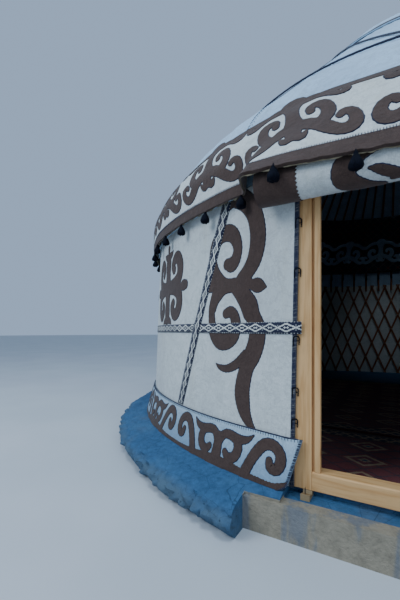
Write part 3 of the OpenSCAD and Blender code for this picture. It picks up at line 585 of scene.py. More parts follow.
def frieze_cloth(finish, colours):
    """Dark quilted cloth of the frieze with a small trellis woven in."""
    place = finish.place("UV")
    across = finish.axis(place, 0).snapped(0.006)
    down = finish.axis(place, 1).snapped(0.006)
    trellis = abs(across.wave(0.16) - down.wave(0.16)) < 0.14
    seeds = (across.wave(0.16) + down.wave(0.16)) < 0.3
    slub = finish.noise(place, 180, 3, 0.7)
    base = finish.blend(slub.ramp(0.3, 0.8), paint(24, 30, 44), paint(48, 58, 78))
    colour = finish.blend(trellis * 0.8, base, paint(96, 92, 92))
    colour = finish.blend(seeds, colour, paint(112, 40, 40))
    finish.coat(colour, 0.92, slub + trellis, 0.002, 0.6, Sheen_Weight=0.15,
                Specular_IOR_Level=0.2)


def rug_pile(finish, colours):
    """Knotted pile on a UV map in metres: a field of medallions inside three borders."""
    ground = tuple(colours.madder)
    place = finish.place("UV")
    knot = 0.008
    across = finish.axis(place, 0).snapped(knot)
    along = finish.axis(place, 1).snapped(knot)
    inset = finish.add("UVMap", {"uv_map": "Inset"}, ())
    margin = finish.axis(inset, 0)
    arm = across.wave(0.36) + along.wave(0.30)
    star = (abs(arm - 0.62) < 0.09).most(arm < 0.24)
    cross = abs(across.wave(0.18) - along.wave(0.15)) < 0.10
    chain = abs(across.wave(0.09) - along.wave(0.09)) < 0.25
    pile = finish.noise(place, 240, 3, 0.7)
    wear = finish.noise(finish.place(), 2.6, 4, 0.6)
    colour = finish.blend(cross * 0.85, ground, paint(22, 28, 52))
    colour = finish.blend(star, colour, paint(176, 148, 112))
    colour = finish.blend(arm < 0.14, colour, paint(40, 66, 84))
    edge = finish.blend(chain, paint(24, 28, 50), paint(170, 142, 108))
    colour = finish.blend(margin < 0.16, colour, edge)
    colour = finish.blend((margin < 0.05).most(abs(margin - 0.165) < 0.012), colour,
                          paint(70, 16, 20))
    colour = finish.blend(wear.ramp(0.45, 0.8, 0.0, 0.45), colour, tone(ground, 0.5))
    colour = finish.blend(pile.ramp(0.35, 0.7, 0.0, 0.5), colour, tone(ground, 0.25))
    finish.coat(colour, 0.94, pile, 0.004, 0.8, Sheen_Weight=0.15, Specular_IOR_Level=0.15)


def stage_finish(finish, colours):
    place = finish.place()
    grain = finish.noise(place, 0.8, 3)
    colour = finish.blend(grain.ramp(0.3, 0.7), paint(190, 194, 198), paint(198, 201, 204))
    finish.coat(colour, 0.9)


FINISHES = {maker.__name__: maker for maker in (
    white_felt, skirt_felt, roof_felt, brown_felt, pine_upright, pine_across, old_pine, willow,
    crown_wood, masonry, girth_weave, slant_weave, black_wool, navy_thread, edge_thread, canvas,
    rawhide, frieze_cloth, rug_pile, stage_finish)}


def material(name):
    """The material of a finish, made once, under a name that no slot of the frame has."""
    full_name = name + "_finish"
    if full_name not in bpy.data.materials:
        FINISHES[name](Finish(full_name), bpy.context.scene.yurt_colours)
    return bpy.data.materials[full_name]


# Shapes
def mix(low, high, share):
    return low + (high - low) * share


def at(bearing, radius, height):
    """A point at a bearing from the door, a radius and a height above the plinth."""
    turn = math.radians(bearing)
    return Vector((radius * math.sin(turn), -radius * math.cos(turn), PLINTH_TOP + height))


def cosine(angle):
    return math.cos(math.radians(angle))


def sine(angle):
    return math.sin(math.radians(angle))


def edge_bearing(z, foot=EDGE_FOOT, head=EDGE_HEAD, height=WALL_H):
    """Bearing of a felt's edge beside the door."""
    return math.degrees(math.atan(mix(foot, head, z / height) / FLAP_FRONT))


def felt_radius(bearing, z):
    """Outer radius of the wall felt: flat over the jamb, straight, then round."""
    away = abs(bearing)
    corner_r = FLAP_FRONT / cosine(CORNER_A)
    wall_r = WALL_FOOT_R - LEAN * z / LATTICE_H
    touch = CORNER_A + (math.degrees(math.acos(wall_r / corner_r)) if corner_r > wall_r else 0)
    if away < CORNER_A:
        return FLAP_FRONT / cosine(away)
    return wall_r / cosine(touch - away) if away < touch else wall_r


def on_wall(bearing, z, out=0.0):
    """A point on the wall felt, which waves a little between its ties."""
    depth = bpy.context.scene.yurt_sizes.ripple
    spot = at(bearing, 2.6, z)
    wave = 1 + noise.noise(spot * 1.7) * 0.7 + noise.noise(spot * 5.0) * 0.3
    return at(bearing, felt_radius(bearing, z) + depth * wave + out, z)


def on_skirt(bearing, y, out=0.0):
    """A point on the skirt, which flares towards its foot."""
    wave = 0.005 * (1 + noise.noise(at(bearing, 3.3, 0)))
    lean = (SKIRT_FLARE + wave) * (1 - y / SKIRT_H)
    return on_wall(bearing, y, SEAT + SKIRT_T + lean + out)


def line_height(distance, radius):
    """Height of a line at a distance over the poles' straight part."""
    return BEND_END[1] + (BEND_END[0] - radius) * math.tan(math.radians(SLOPE)) \
        + distance / cosine(SLOPE)


ROOF_ARC_R = BEND_R + ROOF_OUT
ROOF_KNEE = (BEND_C[0] + ROOF_ARC_R * cosine(BEND_A), BEND_C[1] + ROOF_ARC_R * sine(BEND_A))
ROOF_STRAIGHT = (ROOF_KNEE[0] - RING_OUT - SEAT) / cosine(SLOPE)
ROOF_ARC = ROOF_ARC_R * math.radians(BEND_A - EAVE_LEAN)
ROOF_RUN = ROOF_STRAIGHT + ROOF_ARC + 0.280
ROOF_RUN_FRONT = ROOF_RUN - 0.051


def roof_profile(run):
    """Radius, height and outward direction at a length down the roof from the crown."""
    if run < ROOF_STRAIGHT:
        radius = RING_OUT + SEAT + run * cosine(SLOPE)
        return radius, line_height(ROOF_OUT, radius), 90 - SLOPE
    phi = BEND_A - math.degrees(min(run - ROOF_STRAIGHT, ROOF_ARC) / ROOF_ARC_R)
    tail = max(0, run - ROOF_STRAIGHT - ROOF_ARC)
    return (BEND_C[0] + ROOF_ARC_R * cosine(phi) + tail * sine(EAVE_LEAN),
            BEND_C[1] + ROOF_ARC_R * sine(phi) - tail * cosine(EAVE_LEAN), phi)


def on_roof(bearing, run, out=0.0):
    """A point on the roof felt, which sinks a little between the poles."""
    radius, height, phi = roof_profile(run)
    depth = bpy.context.scene.yurt_sizes.sag * min(1, radius / 2.2)
    sink = depth * math.sin(math.pi * (bearing / HEAD_STEP - 0.5)) ** 2
    lift = out - sink + 0.003 * noise.noise(at(bearing, radius, height) * 2.3)
    return at(bearing, radius + lift * cosine(phi), height + lift * sine(phi))


def swelling(bearing):
    share = max(0, 1 - abs(bearing) / SWELL_A)
    return share * share * (3 - 2 * share)


def front_hem(bearing):
    away = abs(bearing)
    if away < FRONT_HEM_A:
        return FRONT_HEM + FRONT_HEM_RISE * sine(90 * away / FRONT_HEM_A) ** 2
    return mix(FRONT_HEM + FRONT_HEM_RISE, BAND_HEM,
               min(1, (away - FRONT_HEM_A) / (SWELL_A - FRONT_HEM_A)))


def front_hem_r(bearing):
    share = min(1, max(0, (SWELL_A - abs(bearing)) / (SWELL_A - HEM_END_A)))
    reach = share * share * (3 - 2 * share)
    return mix(BAND_R, (ROLL_Y + ROLL_R + BAND_T + HEM_EASE) / cosine(bearing), reach)


def band_profile(bearing, run):
    swell = BAND_R + SHOULDER_SWELL * swelling(bearing)
    if run < UPPER_RUN:
        share = run / UPPER_RUN
        return mix(BAND_TOP_R, swell, share), mix(BAND_TOP_Z, SHOULDER_Z, share)
    share = (run - UPPER_RUN) / (BAND_RUN - UPPER_RUN)
    return mix(swell, front_hem_r(bearing), share), mix(SHOULDER_Z, front_hem(bearing), share)


def band_top(bearing):
    """Length down the band's profile at which its upper edge lies: it sags over the door."""
    share = max(0, 1 - abs(bearing) / TOP_SAG_A)
    return TOP_SAG * share * share * (3 - 2 * share)


def on_band(bearing, run, out=0.0):
    """A point on the roof band, which turns over the eave and hangs free."""
    bend = 0.035
    out += BAND_BULGE * math.sin(math.pi * min(1, max(0, run / UPPER_RUN))) ** 2
    spots = [band_profile(bearing, run + shift) for shift in (-bend, 0, bend)]
    radius = (spots[0][0] + 2 * spots[1][0] + spots[2][0]) / 4
    height = (spots[0][1] + 2 * spots[1][1] + spots[2][1]) / 4
    fall = Vector((spots[2][0] - spots[0][0], spots[2][1] - spots[0][1])).normalized()
    free = max(0, run / BAND_RUN - 0.4)
    sway = free * 0.012 * noise.noise(Vector((bearing * 0.09, 3.1, 0)))
    drop = free * (0.010 * noise.noise(Vector((bearing * 0.16, 7.7, 0))) + 0.016 * swelling(bearing))
    return at(bearing, radius - fall.y * (out + sway), height + fall.x * out + drop)


ROLL_TURNS = 4
ROLL_PITCH = 0.018
ROLL_TAIL = 0.088


def on_roll(x, run, out=0.0):
    """A point on the rolled door: down behind the roll, then round and round."""
    uneven = 0.003 * noise.noise(Vector((x * 3, 0, 2)))
    if run < ROLL_TAIL:
        return Vector((x, -ROLL_Y + ROLL_R + out, PLINTH_TOP + ROLL_Z + ROLL_TAIL - run))
    theta = (run - ROLL_TAIL) / ROLL_R
    for _ in range(3):
        theta = (run - ROLL_TAIL) / (ROLL_R - ROLL_PITCH * theta / 4 / math.pi)
    radius = ROLL_R - ROLL_PITCH * theta / 2 / math.pi + uneven + out
    return Vector((x, -ROLL_Y + radius * math.cos(theta),
                   PLINTH_TOP + ROLL_Z - radius * math.sin(theta)))


def on_roll_front(x, rise, out=0.0):
    """A point on the front of the roll, by how far it lies above its middle line."""
    theta = math.pi + rise / ROLL_R
    radius = ROLL_R - ROLL_PITCH * theta / 2 / math.pi + 0.003 * noise.noise(Vector((x * 3, 0, 2)))
    return Vector((x, -ROLL_Y + (radius + out) * math.cos(theta),
                   PLINTH_TOP + ROLL_Z - (radius + out) * math.sin(theta)))


def frieze_profile(run):
    """Radius, height and direction on the inner face of the frieze, from its top."""
    distance = ROOF_IN + FRIEZE_T
    arc_r = BEND_R - distance
    top_r = BEND_END[0] - (FRIEZE_TOP - BEND_END[1]) / math.tan(math.radians(SLOPE)) \
        - distance * 1.3
    straight = (BEND_C[0] + arc_r * cosine(BEND_A) - top_r) / cosine(SLOPE)
    if run < straight:
        return top_r + run * cosine(SLOPE), FRIEZE_TOP - run * sine(SLOPE), BEND_A
    phi = BEND_A - math.degrees((run - straight) / arc_r)
    return BEND_C[0] + arc_r * cosine(phi), BEND_C[1] + arc_r * sine(phi), phi


FRIEZE_RUN = 1.168


def on_frieze(bearing, run, out=0.0):
    radius, height, phi = frieze_profile(run)
    wave = 0.004 * noise.noise(Vector((bearing * 0.2, run * 4, 0)))
    lift = out + abs(wave)
    return at(bearing, radius - lift * cosine(phi), height - lift * sine(phi))


# Meshes
def piece(name, bm, finish, smooth=True, thickness=0.0, rounding=0.0):
    """Makes a piece of a mesh: it rides on the yurt and takes a finish."""
    mesh = bpy.data.meshes.new(name)
    bm.to_mesh(mesh)
    bm.free()
    if smooth:
        mesh.shade_smooth()
    mesh.materials.append(material(finish))
    obj = bpy.data.objects.new(name, mesh)
    bpy.context.scene.collection.objects.link(obj)
    if thickness:
        solid = obj.modifiers.new("Thickness", "SOLIDIFY")
        solid.thickness = thickness
        solid.offset = -1
    if rounding:
        rim = obj.modifiers.new("Rounded edge", "BEVEL")
        rim.width = rounding
        rim.segments = 2
        rim.limit_method = "ANGLE"
        rim.angle_limit = math.radians(40)
        rim.harden_normals = True
    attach(obj, "root")
    return obj


def surface(bm, columns, rows, place, flat=None, back=False):
    """Adds a grid of cells laid on a surface, with a UV map in metres where it is asked for."""
    grid = bmesh.ops.create_grid(bm, x_segments=columns, y_segments=rows, size=0.5)
    shares = {}
    for vert in grid["verts"]:
        share = (vert.co.x + 0.5, vert.co.y + 0.5)
        shares[vert] = share
        vert.co = place(*share)
    faces = list({face for vert in grid["verts"] for face in vert.link_faces})
    if flat:
        layer = bm.loops.layers.uv.verify()
        for face in faces:
            for loop in face.loops:
                loop[layer].uv = flat(*shares[loop.vert])
    if back:
        bmesh.ops.reverse_faces(bm, faces=faces)
    return grid["verts"]


def spline(points, share):
    """A point of the smooth curve through points, at a share of their count."""
    spot = min(max(share, 0), 1) * (len(points) - 1)
    index = min(int(spot), len(points) - 2)
    t = spot - index
    before = points[max(index - 1, 0)]
    first, second = points[index], points[index + 1]
    after = points[min(index + 2, len(points) - 1)]
    return [0.5 * (2 * b + (c - a) * t + (2 * a - 5 * b + 4 * c - d) * t * t
                   + (3 * b - a - 3 * c + d) * t ** 3)
            for a, b, c, d in zip(before, first, second, after)]


def stroke(bm, path, place, lift, spacing=0.02, across=4, grow=0.0, teeth=0.0):
    """Lays a ribbon of felt on a surface along [x, y, width] points, its ends rounded."""
    length = sum(math.dist(a[:2], b[:2]) for a, b in zip(path, path[1:]))
    count = max(8, int(length / spacing))
    spots = []
    for index in range(count + 1):
        share = index / count
        x, y, width = spline(path, share)
        ahead = spline(path, share + 0.01)
        behind = spline(path, share - 0.01)
        along = Vector((ahead[0] - behind[0], ahead[1] - behind[1])).normalized()
        spots.append((Vector((x, y)), along, max(width, 0.0) / 2 + grow))
    caps = []
    for end, sign in ((spots[0], -1), (spots[-1], 1)):
        turns = (75, 50, 25) if end[2] > 0.004 else ()
        cap = [(end[0] + end[1] * sign * end[2] * sine(turn), end[1], end[2] * cosine(turn))
               for turn in turns]
        caps.append(cap)
    spots = caps[0] + spots + caps[1][::-1]
    last = len(spots) - 1

    def lay(u, v):
        index = round(u * last)
        centre, along, half = spots[index]
        side = (v * 2 - 1) * (max(half, 0.0006) + teeth * (index % 2))
        return place(centre.x - along.y * side, centre.y + along.x * side, lift)

    surface(bm, last, across, lay)


class Applique:
    """Strokes of brown felt with a dark thread sewn round them."""

    def __init__(self, sizes, spacing=0.02, across=4):
        self.sizes = sizes
        self.spacing = spacing
        self.across = across
        self.felt = bmesh.new()
        self.thread = bmesh.new()

    def stroke(self, path, place, layer=0):
        """Sews on one stroke: later layers lie a hair higher, so that none fight."""
        hair = 0.00005 * layer
        stroke(self.felt, path, place, self.sizes.applique + hair, self.spacing, self.across)
        stroke(self.thread, path, place, self.sizes.applique * 0.42 + hair / 2, self.sizes.stitch,
               self.across // 2, self.sizes.edging, self.sizes.edging * 0.7)

    def pieces(self, name, turn):
        """Makes the two pieces, with their faces turned by a function."""
        turn(self.felt)
        turn(self.thread)
        thick = self.sizes.applique
        return [piece(name, self.felt, "brown_felt", thickness=thick + 0.0008,
                      rounding=0.0008),
                piece(name + "_thread", self.thread, "navy_thread", thickness=thick * 0.5)]


def mirrored(path, x=True, y=False):
    return [(-p[0] if x else p[0], -p[1] if y else p[1], p[2]) for p in path]


def turn_over(bm, is_wrong):
    """Turns over the faces that a test of their middle and normal finds wrong."""
    bm.normal_update()
    wrong = [face for face in bm.faces if is_wrong(face.calc_center_median(), face.normal)]
    bmesh.ops.reverse_faces(bm, faces=wrong)


def outward(bm):
    """Turns every face of strokes laid on a surface away from the yurt's middle line."""
    turn_over(bm, lambda centre, normal: normal.dot(Vector((centre.x, centre.y, 0.4))) < 0)


def lathe(bm, profile, steps, weld):
    """Turns a profile of [radius, height] round the upright axis and closes its ends."""
    verts = [bm.verts.new((radius, 0, height)) for radius, height in profile]
    edges = [bm.edges.new(pair) for pair in zip(verts, verts[1:])]
    bmesh.ops.spin(bm, geom=verts + edges, cent=(0, 0, 0), axis=(0, 0, 1),
                   angle=math.tau, steps=steps, use_merge=True)
    bmesh.ops.remove_doubles(bm, verts=bm.verts, dist=weld)
    rim = [edge for edge in bm.edges if edge.is_boundary]
    bmesh.ops.holes_fill(bm, edges=rim, sides=0)
    bmesh.ops.recalc_face_normals(bm, faces=bm.faces)


def stitch(bm, start, end, radius):
    """One short stitch of thread."""
    along = end - start
    turn = along.to_track_quat("Z", "Y").to_matrix().to_4x4()
    size = Matrix.Diagonal((radius, radius, along.length / 2 + radius, 1))
    bmesh.ops.create_icosphere(bm, subdivisions=1, radius=1.0,
                               matrix=Matrix.Translation((start + end) / 2) @ turn @ size)


def tube(bm, points, radius, sides=8, lobes=0, twist=0.0):
    """A rope through points: with lobes it is laid of that many strands."""
    count = len(points) - 1
    aheads = [(points[min(i + 1, count)] - points[max(i - 1, 0)]).normalized()
              for i in range(count + 1)]

    def lay(u, v):
        index = round(u * count)
        ahead = aheads[index]
        side = ahead.cross(Vector((0, 0, 1)))
        if side.length < 0.05:
            side = ahead.cross(Vector((1, 0, 0)))
        side.normalize()
        over = side.cross(ahead)
        turn = v * math.tau
        size = radius
        if lobes:
            size *= 0.82 + 0.18 * abs(math.cos((turn * lobes) / 2 + twist * index))
        if index in (0, count):
            size *= 0.35
        return points[index] + side * math.cos(turn) * size + over * math.sin(turn) * size

    verts = surface(bm, count, sides, lay)
    bmesh.ops.remove_doubles(bm, verts=verts, dist=radius * 0.02)


def node_copy(bm, node):
    """Adds a CAD node's shape with its loose triangles merged into flat faces."""
    before = set(bm.verts)
    bm.from_mesh(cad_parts[node].data)
    verts = [vert for vert in bm.verts if vert not in before]
    bmesh.ops.remove_doubles(bm, verts=verts, dist=0.00002)
    verts = [vert for vert in bm.verts if vert not in before]
    edges = list({edge for vert in verts for edge in vert.link_edges})
    bmesh.ops.dissolve_limit(bm, angle_limit=math.radians(1), verts=verts, edges=edges)
    return [vert for vert in bm.verts if vert not in before]


def angle_edges(bm, angle=30):
    return [edge for edge in bm.edges
            if len(edge.link_faces) == 2 and edge.calc_face_angle() > math.radians(angle)]


class Maker:
    """What every operator of the yurt shares."""
    bl_options = {"REGISTER", "UNDO"}

    @property
    def sizes(self):
        return bpy.context.scene.yurt_sizes


class YURT_OT_stage(Maker, bpy.types.Operator):
    """Sets the floor, the studio light and the camera"""
    bl_idname = "yurt.stage"
    bl_label = "Stage"

    def execute(self, context):
        bm = bmesh.new()
        bmesh.ops.create_circle(bm, cap_ends=True, segments=96, radius=70)
        mesh = bpy.data.meshes.new("floor")
        bm.to_mesh(mesh)
        bm.free()
        mesh.materials.append(material("stage_finish"))
        floor = bpy.data.objects.new("floor", mesh)
        context.scene.collection.objects.link(floor)
        self.light(context)
        camera = bpy.data.objects.new("camera", bpy.data.cameras.new("camera"))
        context.scene.collection.objects.link(camera)
        camera.location = CAMERA_PLACE
        camera.rotation_euler = (math.radians(90), 0, math.radians(CAMERA_TURN))
        camera.data.lens = CAMERA_LENS
        camera.data.shift_y = CAMERA_SHIFT
        context.scene.camera = camera
        return {"FINISHED"}

    def light(self, context):
        world = context.scene.world or bpy.data.worlds.new("world")
        context.scene.world = world
        world.use_nodes = True
        sky = world.node_tree.nodes["Background"]
        sky.inputs["Color"].default_value = SKY_COLOUR
        sky.inputs["Strength"].default_value = SKY_STRENGTH
        for name, (place, aim, size, power, colour) in LAMPS.items():
            lamp = bpy.data.lights.new(name, "AREA")
            lamp.shape = "DISK"
            lamp.size = size
            lamp.energy = power
            lamp.color = colour
            holder = bpy.data.objects.new(name, lamp)
            holder.location = place
            holder.rotation_euler = (Vector(place) - Vector(aim)).to_track_quat("Z", "Y").to_euler()
            context.scene.collection.objects.link(holder)


class YURT_OT_plinth(Maker, bpy.types.Operator):
    """Builds the plinth of cobbles and mortar with its notch at the door"""
    bl_idname = "yurt.plinth"
    bl_label = "Plinth"

    def execute(self, context):
        edge_r, edge_z, full_r, belly = 3.145, 0.185, 3.318, 0.090
        profile = [(full_r - 0.068 * (1 - t / 5) ** 2, belly * t / 5) for t in range(6)]
        profile += [(edge_r + 0.173 * cosine(15 * t), mix(belly, edge_z, sine(15 * t)))
                    for t in range(1, 7)]
        profile += [(mix(edge_r, BASE_R, t / 4), mix(edge_z, PLINTH_TOP, t / 4)) for t in range(1, 5)]
        profile += [(2.6, PLINTH_TOP), (1.8, PLINTH_TOP), (0.9, PLINTH_TOP), (0.0, PLINTH_TOP)]
        profile = self.finer(profile)
        bm = bmesh.new()
        lathe(bm, profile, 900, 0.0001)
        self.roughen(bm)
        plinth = piece("plinth_masonry", bm, "masonry")
        self.cut(context, plinth)
        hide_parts("plinth")
        return {"FINISHED"}

    def finer(self, profile):
        """Splits the long steps of the outer slope."""
        fine = [profile[0]]
        for low, high in zip(profile, profile[1:]):
            parts = max(1, round(math.dist(low, high) / 0.016)) if low[0] > 3.0 else 1
            fine += [(mix(low[0], high[0], i / parts), mix(low[1], high[1], i / parts))
                     for i in range(1, parts + 1)]
        return fine

    def roughen(self, bm):
        """Presses cobbles and trowel marks into the rendering outside the yurt."""
        depth = self.sizes.rough
        noise.seed_set(COBBLE_SEED)
        for vert in bm.verts:
            radius = math.hypot(vert.co.x, vert.co.y)
            if radius < BASE_R + 0.01 or vert.co.z < 0.001:
                continue
            fade = min(1, (radius - BASE_R - 0.01) / 0.08) * min(1, vert.co.z / 0.02)
            cobbled = min(1.0, max(0.12, (0.178 - vert.co.z + 0.02 * noise.noise(vert.co * 5)) / 0.03))
            spot = vert.co.copy()
            drift = noise.noise_vector(spot * 4.5) * 0.05
            near = noise.voronoi((spot + drift) * 10.5)[0]
            stone = min(1.0, (near[1] - near[0]) * 2.2)
            crumbs = noise.fractal(spot * 20, 0.7, 2.1, 4)
            swell = noise.noise(spot * 2.1)
            lift = ((stone - 0.75) * 1.3 + crumbs * 0.5) * cobbled + crumbs * 0.12 + swell * 0.5
            push = Vector((vert.co.x / radius, vert.co.y / radius, 0.35 * min(1, vert.co.z / 0.1)))
            vert.co += push * lift * depth * fade

    def cut(self, context, plinth):
        """Cuts the notch in front of the door and the pocket under its frame."""
        top = PLINTH_TOP - NOTCH_DROP
        notch = ((-NOTCH_HALF, -4.0, -0.1), (NOTCH_HALF, -NOTCH_FRONT, 0.5))
        ledge = ((-NOTCH_HALF, -NOTCH_FRONT - 0.001, top), (NOTCH_HALF, -BASE_R - 0.002, 0.5))
        pocket = ((-POCKET_HALF, -BASE_R - 0.003, top), (POCKET_HALF, -POCKET_BACK, 0.5))
        for boxes in ((notch, pocket), (ledge,)):
            bm = bmesh.new()
            for low, high in boxes:
                middle = [(a + b) / 2 for a, b in zip(low, high)]
                size = [b - a for a, b in zip(low, high)]
                bmesh.ops.create_cube(bm, size=1, matrix=Matrix.Translation(middle)
                                      @ Matrix.Diagonal((*size, 1)))
            mesh = bpy.data.meshes.new("cutter")
            bm.to_mesh(mesh)
            bm.free()
            cutter = bpy.data.objects.new("cutter", mesh)
            context.scene.collection.objects.link(cutter)
            cut = plinth.modifiers.new("Notch", "BOOLEAN")
            cut.operation = "DIFFERENCE"
            cut.solver = "EXACT"
            cut.object = cutter
            shape = bpy.data.meshes.new_from_object(
                plinth.evaluated_get(context.evaluated_depsgraph_get()))
            plinth.modifiers.remove(cut)
            plinth.data = shape
            bpy.data.objects.remove(cutter)
        plinth.data.name = "plinth_masonry"
        plinth.data.set_sharp_from_angle(angle=math.radians(50))


class YURT_OT_timbers(Maker, bpy.types.Operator):
    """Planes the edges of the door frame's timbers and finishes them"""
    bl_idname = "yurt.timbers"
    bl_label = "Door frame"

    def execute(self, context):
        parts = {"sill": ("pine_across", "pine"), "lintel": ("pine_across", "pine"),
                 "jamb_left": ("pine_upright", "pine"), "jamb_right": ("pine_upright", "pine"),
                 "stop_left": ("pine_upright", "stop_pine"),
                 "stop_right": ("pine_upright", "stop_pine"),
                 "stop_head": ("pine_across", "stop_pine"), "frame_wedges": ("old_pine", "pine")}
        for node, (finish, slot) in parts.items():
            bm = bmesh.new()
            node_copy(bm, node)
            ease = self.sizes.ease * (0.5 if slot == "stop_pine" else 1)
            bmesh.ops.bevel(bm, geom=angle_edges(bm), offset=ease, offset_type="OFFSET",
                            affect="EDGES", segments=2, profile=0.5, material=-1,
                            clamp_overlap=True)
            timber = piece(node + "_planed", bm, finish, smooth=False)
            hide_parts(node)
        low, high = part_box("frame_wedges")
        bm = bmesh.new()
        for x in (low[0] + 0.022, high[0] - 0.022):
            foot = Vector((x, low[1] + 0.016, high[2] - 0.010))
            stitch(bm, foot, foot + Vector((0, 0, 0.044)), 0.0026)
        piece("wedge_nails", bm, "black_wool")
        return {"FINISHED"}


class YURT_OT_framework(Maker, bpy.types.Operator):
    """Finishes the lattice, the poles and the crown, and ties the lattice's crossings"""
    bl_idname = "yurt.framework"
    bl_label = "Framework"

    def execute(self, context):
        finishes = {"lattice": "willow", "roof_poles": "willow", "crown": "crown_wood"}
        for node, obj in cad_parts.items():
            for start, finish in finishes.items():
                if node.startswith(start) and obj.material_slots:
                    obj.material_slots[0].material = material(finish)
        bm = bmesh.new()
        for level in range(-3, 4):
            height = CROSSING_Z + CROSSING_PITCH * level
            shift = 0.5 if level % 2 == 0 else 0.0
            for head in range(HEADS):
                bearing = (head + shift) * HEAD_STEP
                if min(bearing, 360 - bearing) < DOOR_EDGE_A:
                    continue
                inner = at(bearing, CROSSING_R - LEAN * height / LATTICE_H, height)
                size = self.sizes.knot
                bmesh.ops.create_icosphere(
                    bm, subdivisions=1, radius=size,
                    matrix=Matrix.Translation(inner) @ Matrix.Rotation(
                        math.radians(bearing), 4, "Z") @ Matrix.Diagonal((1, 0.6, 1, 1)))
        piece("lattice_knots", bm, "rawhide")
        return {"FINISHED"}


class YURT_OT_wall_felts(Maker, bpy.types.Operator):
    """Hangs the wall felts and sews the brown ornament on them"""
    bl_idname = "yurt.wall_felts"
    bl_label = "Wall felts"

    def execute(self, context):
        ornament = {"front_left": [], "front_right": [], "rear_right": [], "rear_left": []}
        for side in (-1, 1):
            name = "front_left" if side < 0 else "front_right"
            ornament[name].append(("scroll", side * SCROLL_A, side))
        for index in range(ROSETTES):
            bearing = ROSETTE_A + ROSETTE_STEP * index
            name = "front_right" if bearing < 90 else "rear_right" if bearing < 180.5 \
                else "rear_left" if bearing < 270 else "front_left"
            ornament[name].append(("rosette", bearing if bearing < 180.5 else bearing - 360, 1))
        spans = {"front_left": (-90, -1), "front_right": (1, 90), "rear_right": (90, 180),
                 "rear_left": (-180, -90)}
        for name, (start, end) in spans.items():
            self.wall(name, start, end, ornament[name])
        return {"FINISHED"}

    def wall(self, name, start, end, ornament):
        cell = self.sizes.cell
        thick = self.sizes.felt

        def bearings(height):
            low = -edge_bearing(height) if end == -1 else end
            high = edge_bearing(height) if start == 1 else start
            return high, low

        def lay(u, v):
            height = v * WALL_H
            first, last = bearings(height)
            return on_wall(mix(first, last, u), height)

        width = WALL_REAR_L if name.startswith("rear") else WALL_FRONT_L
        bm = bmesh.new()
        surface(bm, int(width / cell), int(WALL_H / cell), lay,
                lambda u, v: (u * width, v * WALL_H))
        felt = piece("wall_felt_sheet_" + name, bm, "white_felt",
                     thickness=thick, rounding=0.003)
        extras = self.strokes(name, ornament)
        if name.startswith("front"):
            extras += self.edge_border(name, 1 if start == 1 else -1)
        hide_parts("wall_felt_" + name)

    def strokes(self, name, ornament):
        sewn = Applique(self.sizes)
        for kind, bearing, side in ornament:
            def beside(x, y, out):
                return on_wall(bearing + x * WALL_DEG, y, out)

            def centred(x, y, out):
                return on_wall(bearing + x * WALL_DEG, y + ROSETTE_Z, out)

            if kind == "scroll":
                for index, path in enumerate(WALL_SCROLL):
                    sewn.stroke(mirrored(path, side > 0), beside, index)
                continue
            for index, (right, up) in enumerate(((1, 1), (-1, 1), (1, -1), (-1, -1))):
                sewn.stroke(mirrored(ROSETTE_HORN, right < 0, up < 0), centred, index)
                sewn.stroke(mirrored(ROSETTE_LEAF, right < 0, up < 0), centred, index + 4)
            for index, turn in enumerate((False, True)):
                sewn.stroke(mirrored(ROSETTE_BAR, turn, False), centred, index + 8)
                sewn.stroke(mirrored(ROSETTE_STEM, False, turn), centred, index + 10)
        return sewn.pieces("wall_ornament_" + name, outward)

    def edge_border(self, name, side):
        """A sewn border along the felt's edge beside the door, under whip stitches."""
        wide, lift = 0.017, 0.0015
        rows = int(WALL_H / 0.02)

        def lay(u, v):
            height = WALL_H * v
            edge = edge_bearing(height)
            if u == 0:
                return on_wall(side * (edge - 0.003 * WALL_DEG), height, -0.010)
            reach = mix(-0.003, wide, (u - 0.25) / 0.75)
            return on_wall(side * (edge + reach * WALL_DEG), height, lift)

        bm = bmesh.new()
        surface(bm, 4, rows, lay, lambda u, v: (u * wide, v * WALL_H))
        outward(bm)
        border = piece("wall_edge_border_" + name, bm, "edge_thread",
                       thickness=lift)
        bm = bmesh.new()
        chance = random.Random(5 + side)
        for index in range(int((WALL_H - 0.03) / self.sizes.stitch)):
            height = 0.012 + index * self.sizes.stitch + chance.uniform(-0.002, 0.002)
            edge = edge_bearing(height)
            inner = side * (edge + chance.uniform(0.010, 0.021) * WALL_DEG)
            outer = side * (edge - 0.0045 * WALL_DEG)
            stitch(bm, on_wall(outer, height + 0.004, 0.001), on_wall(inner, height, 0.0022), 0.0012)
            stitch(bm, on_wall(outer, height + 0.004, 0.001), on_wall(outer, height + 0.004, -0.010),
                   0.0014)
        return [border, piece("wall_edge_stitches_" + name, bm, "navy_thread")]


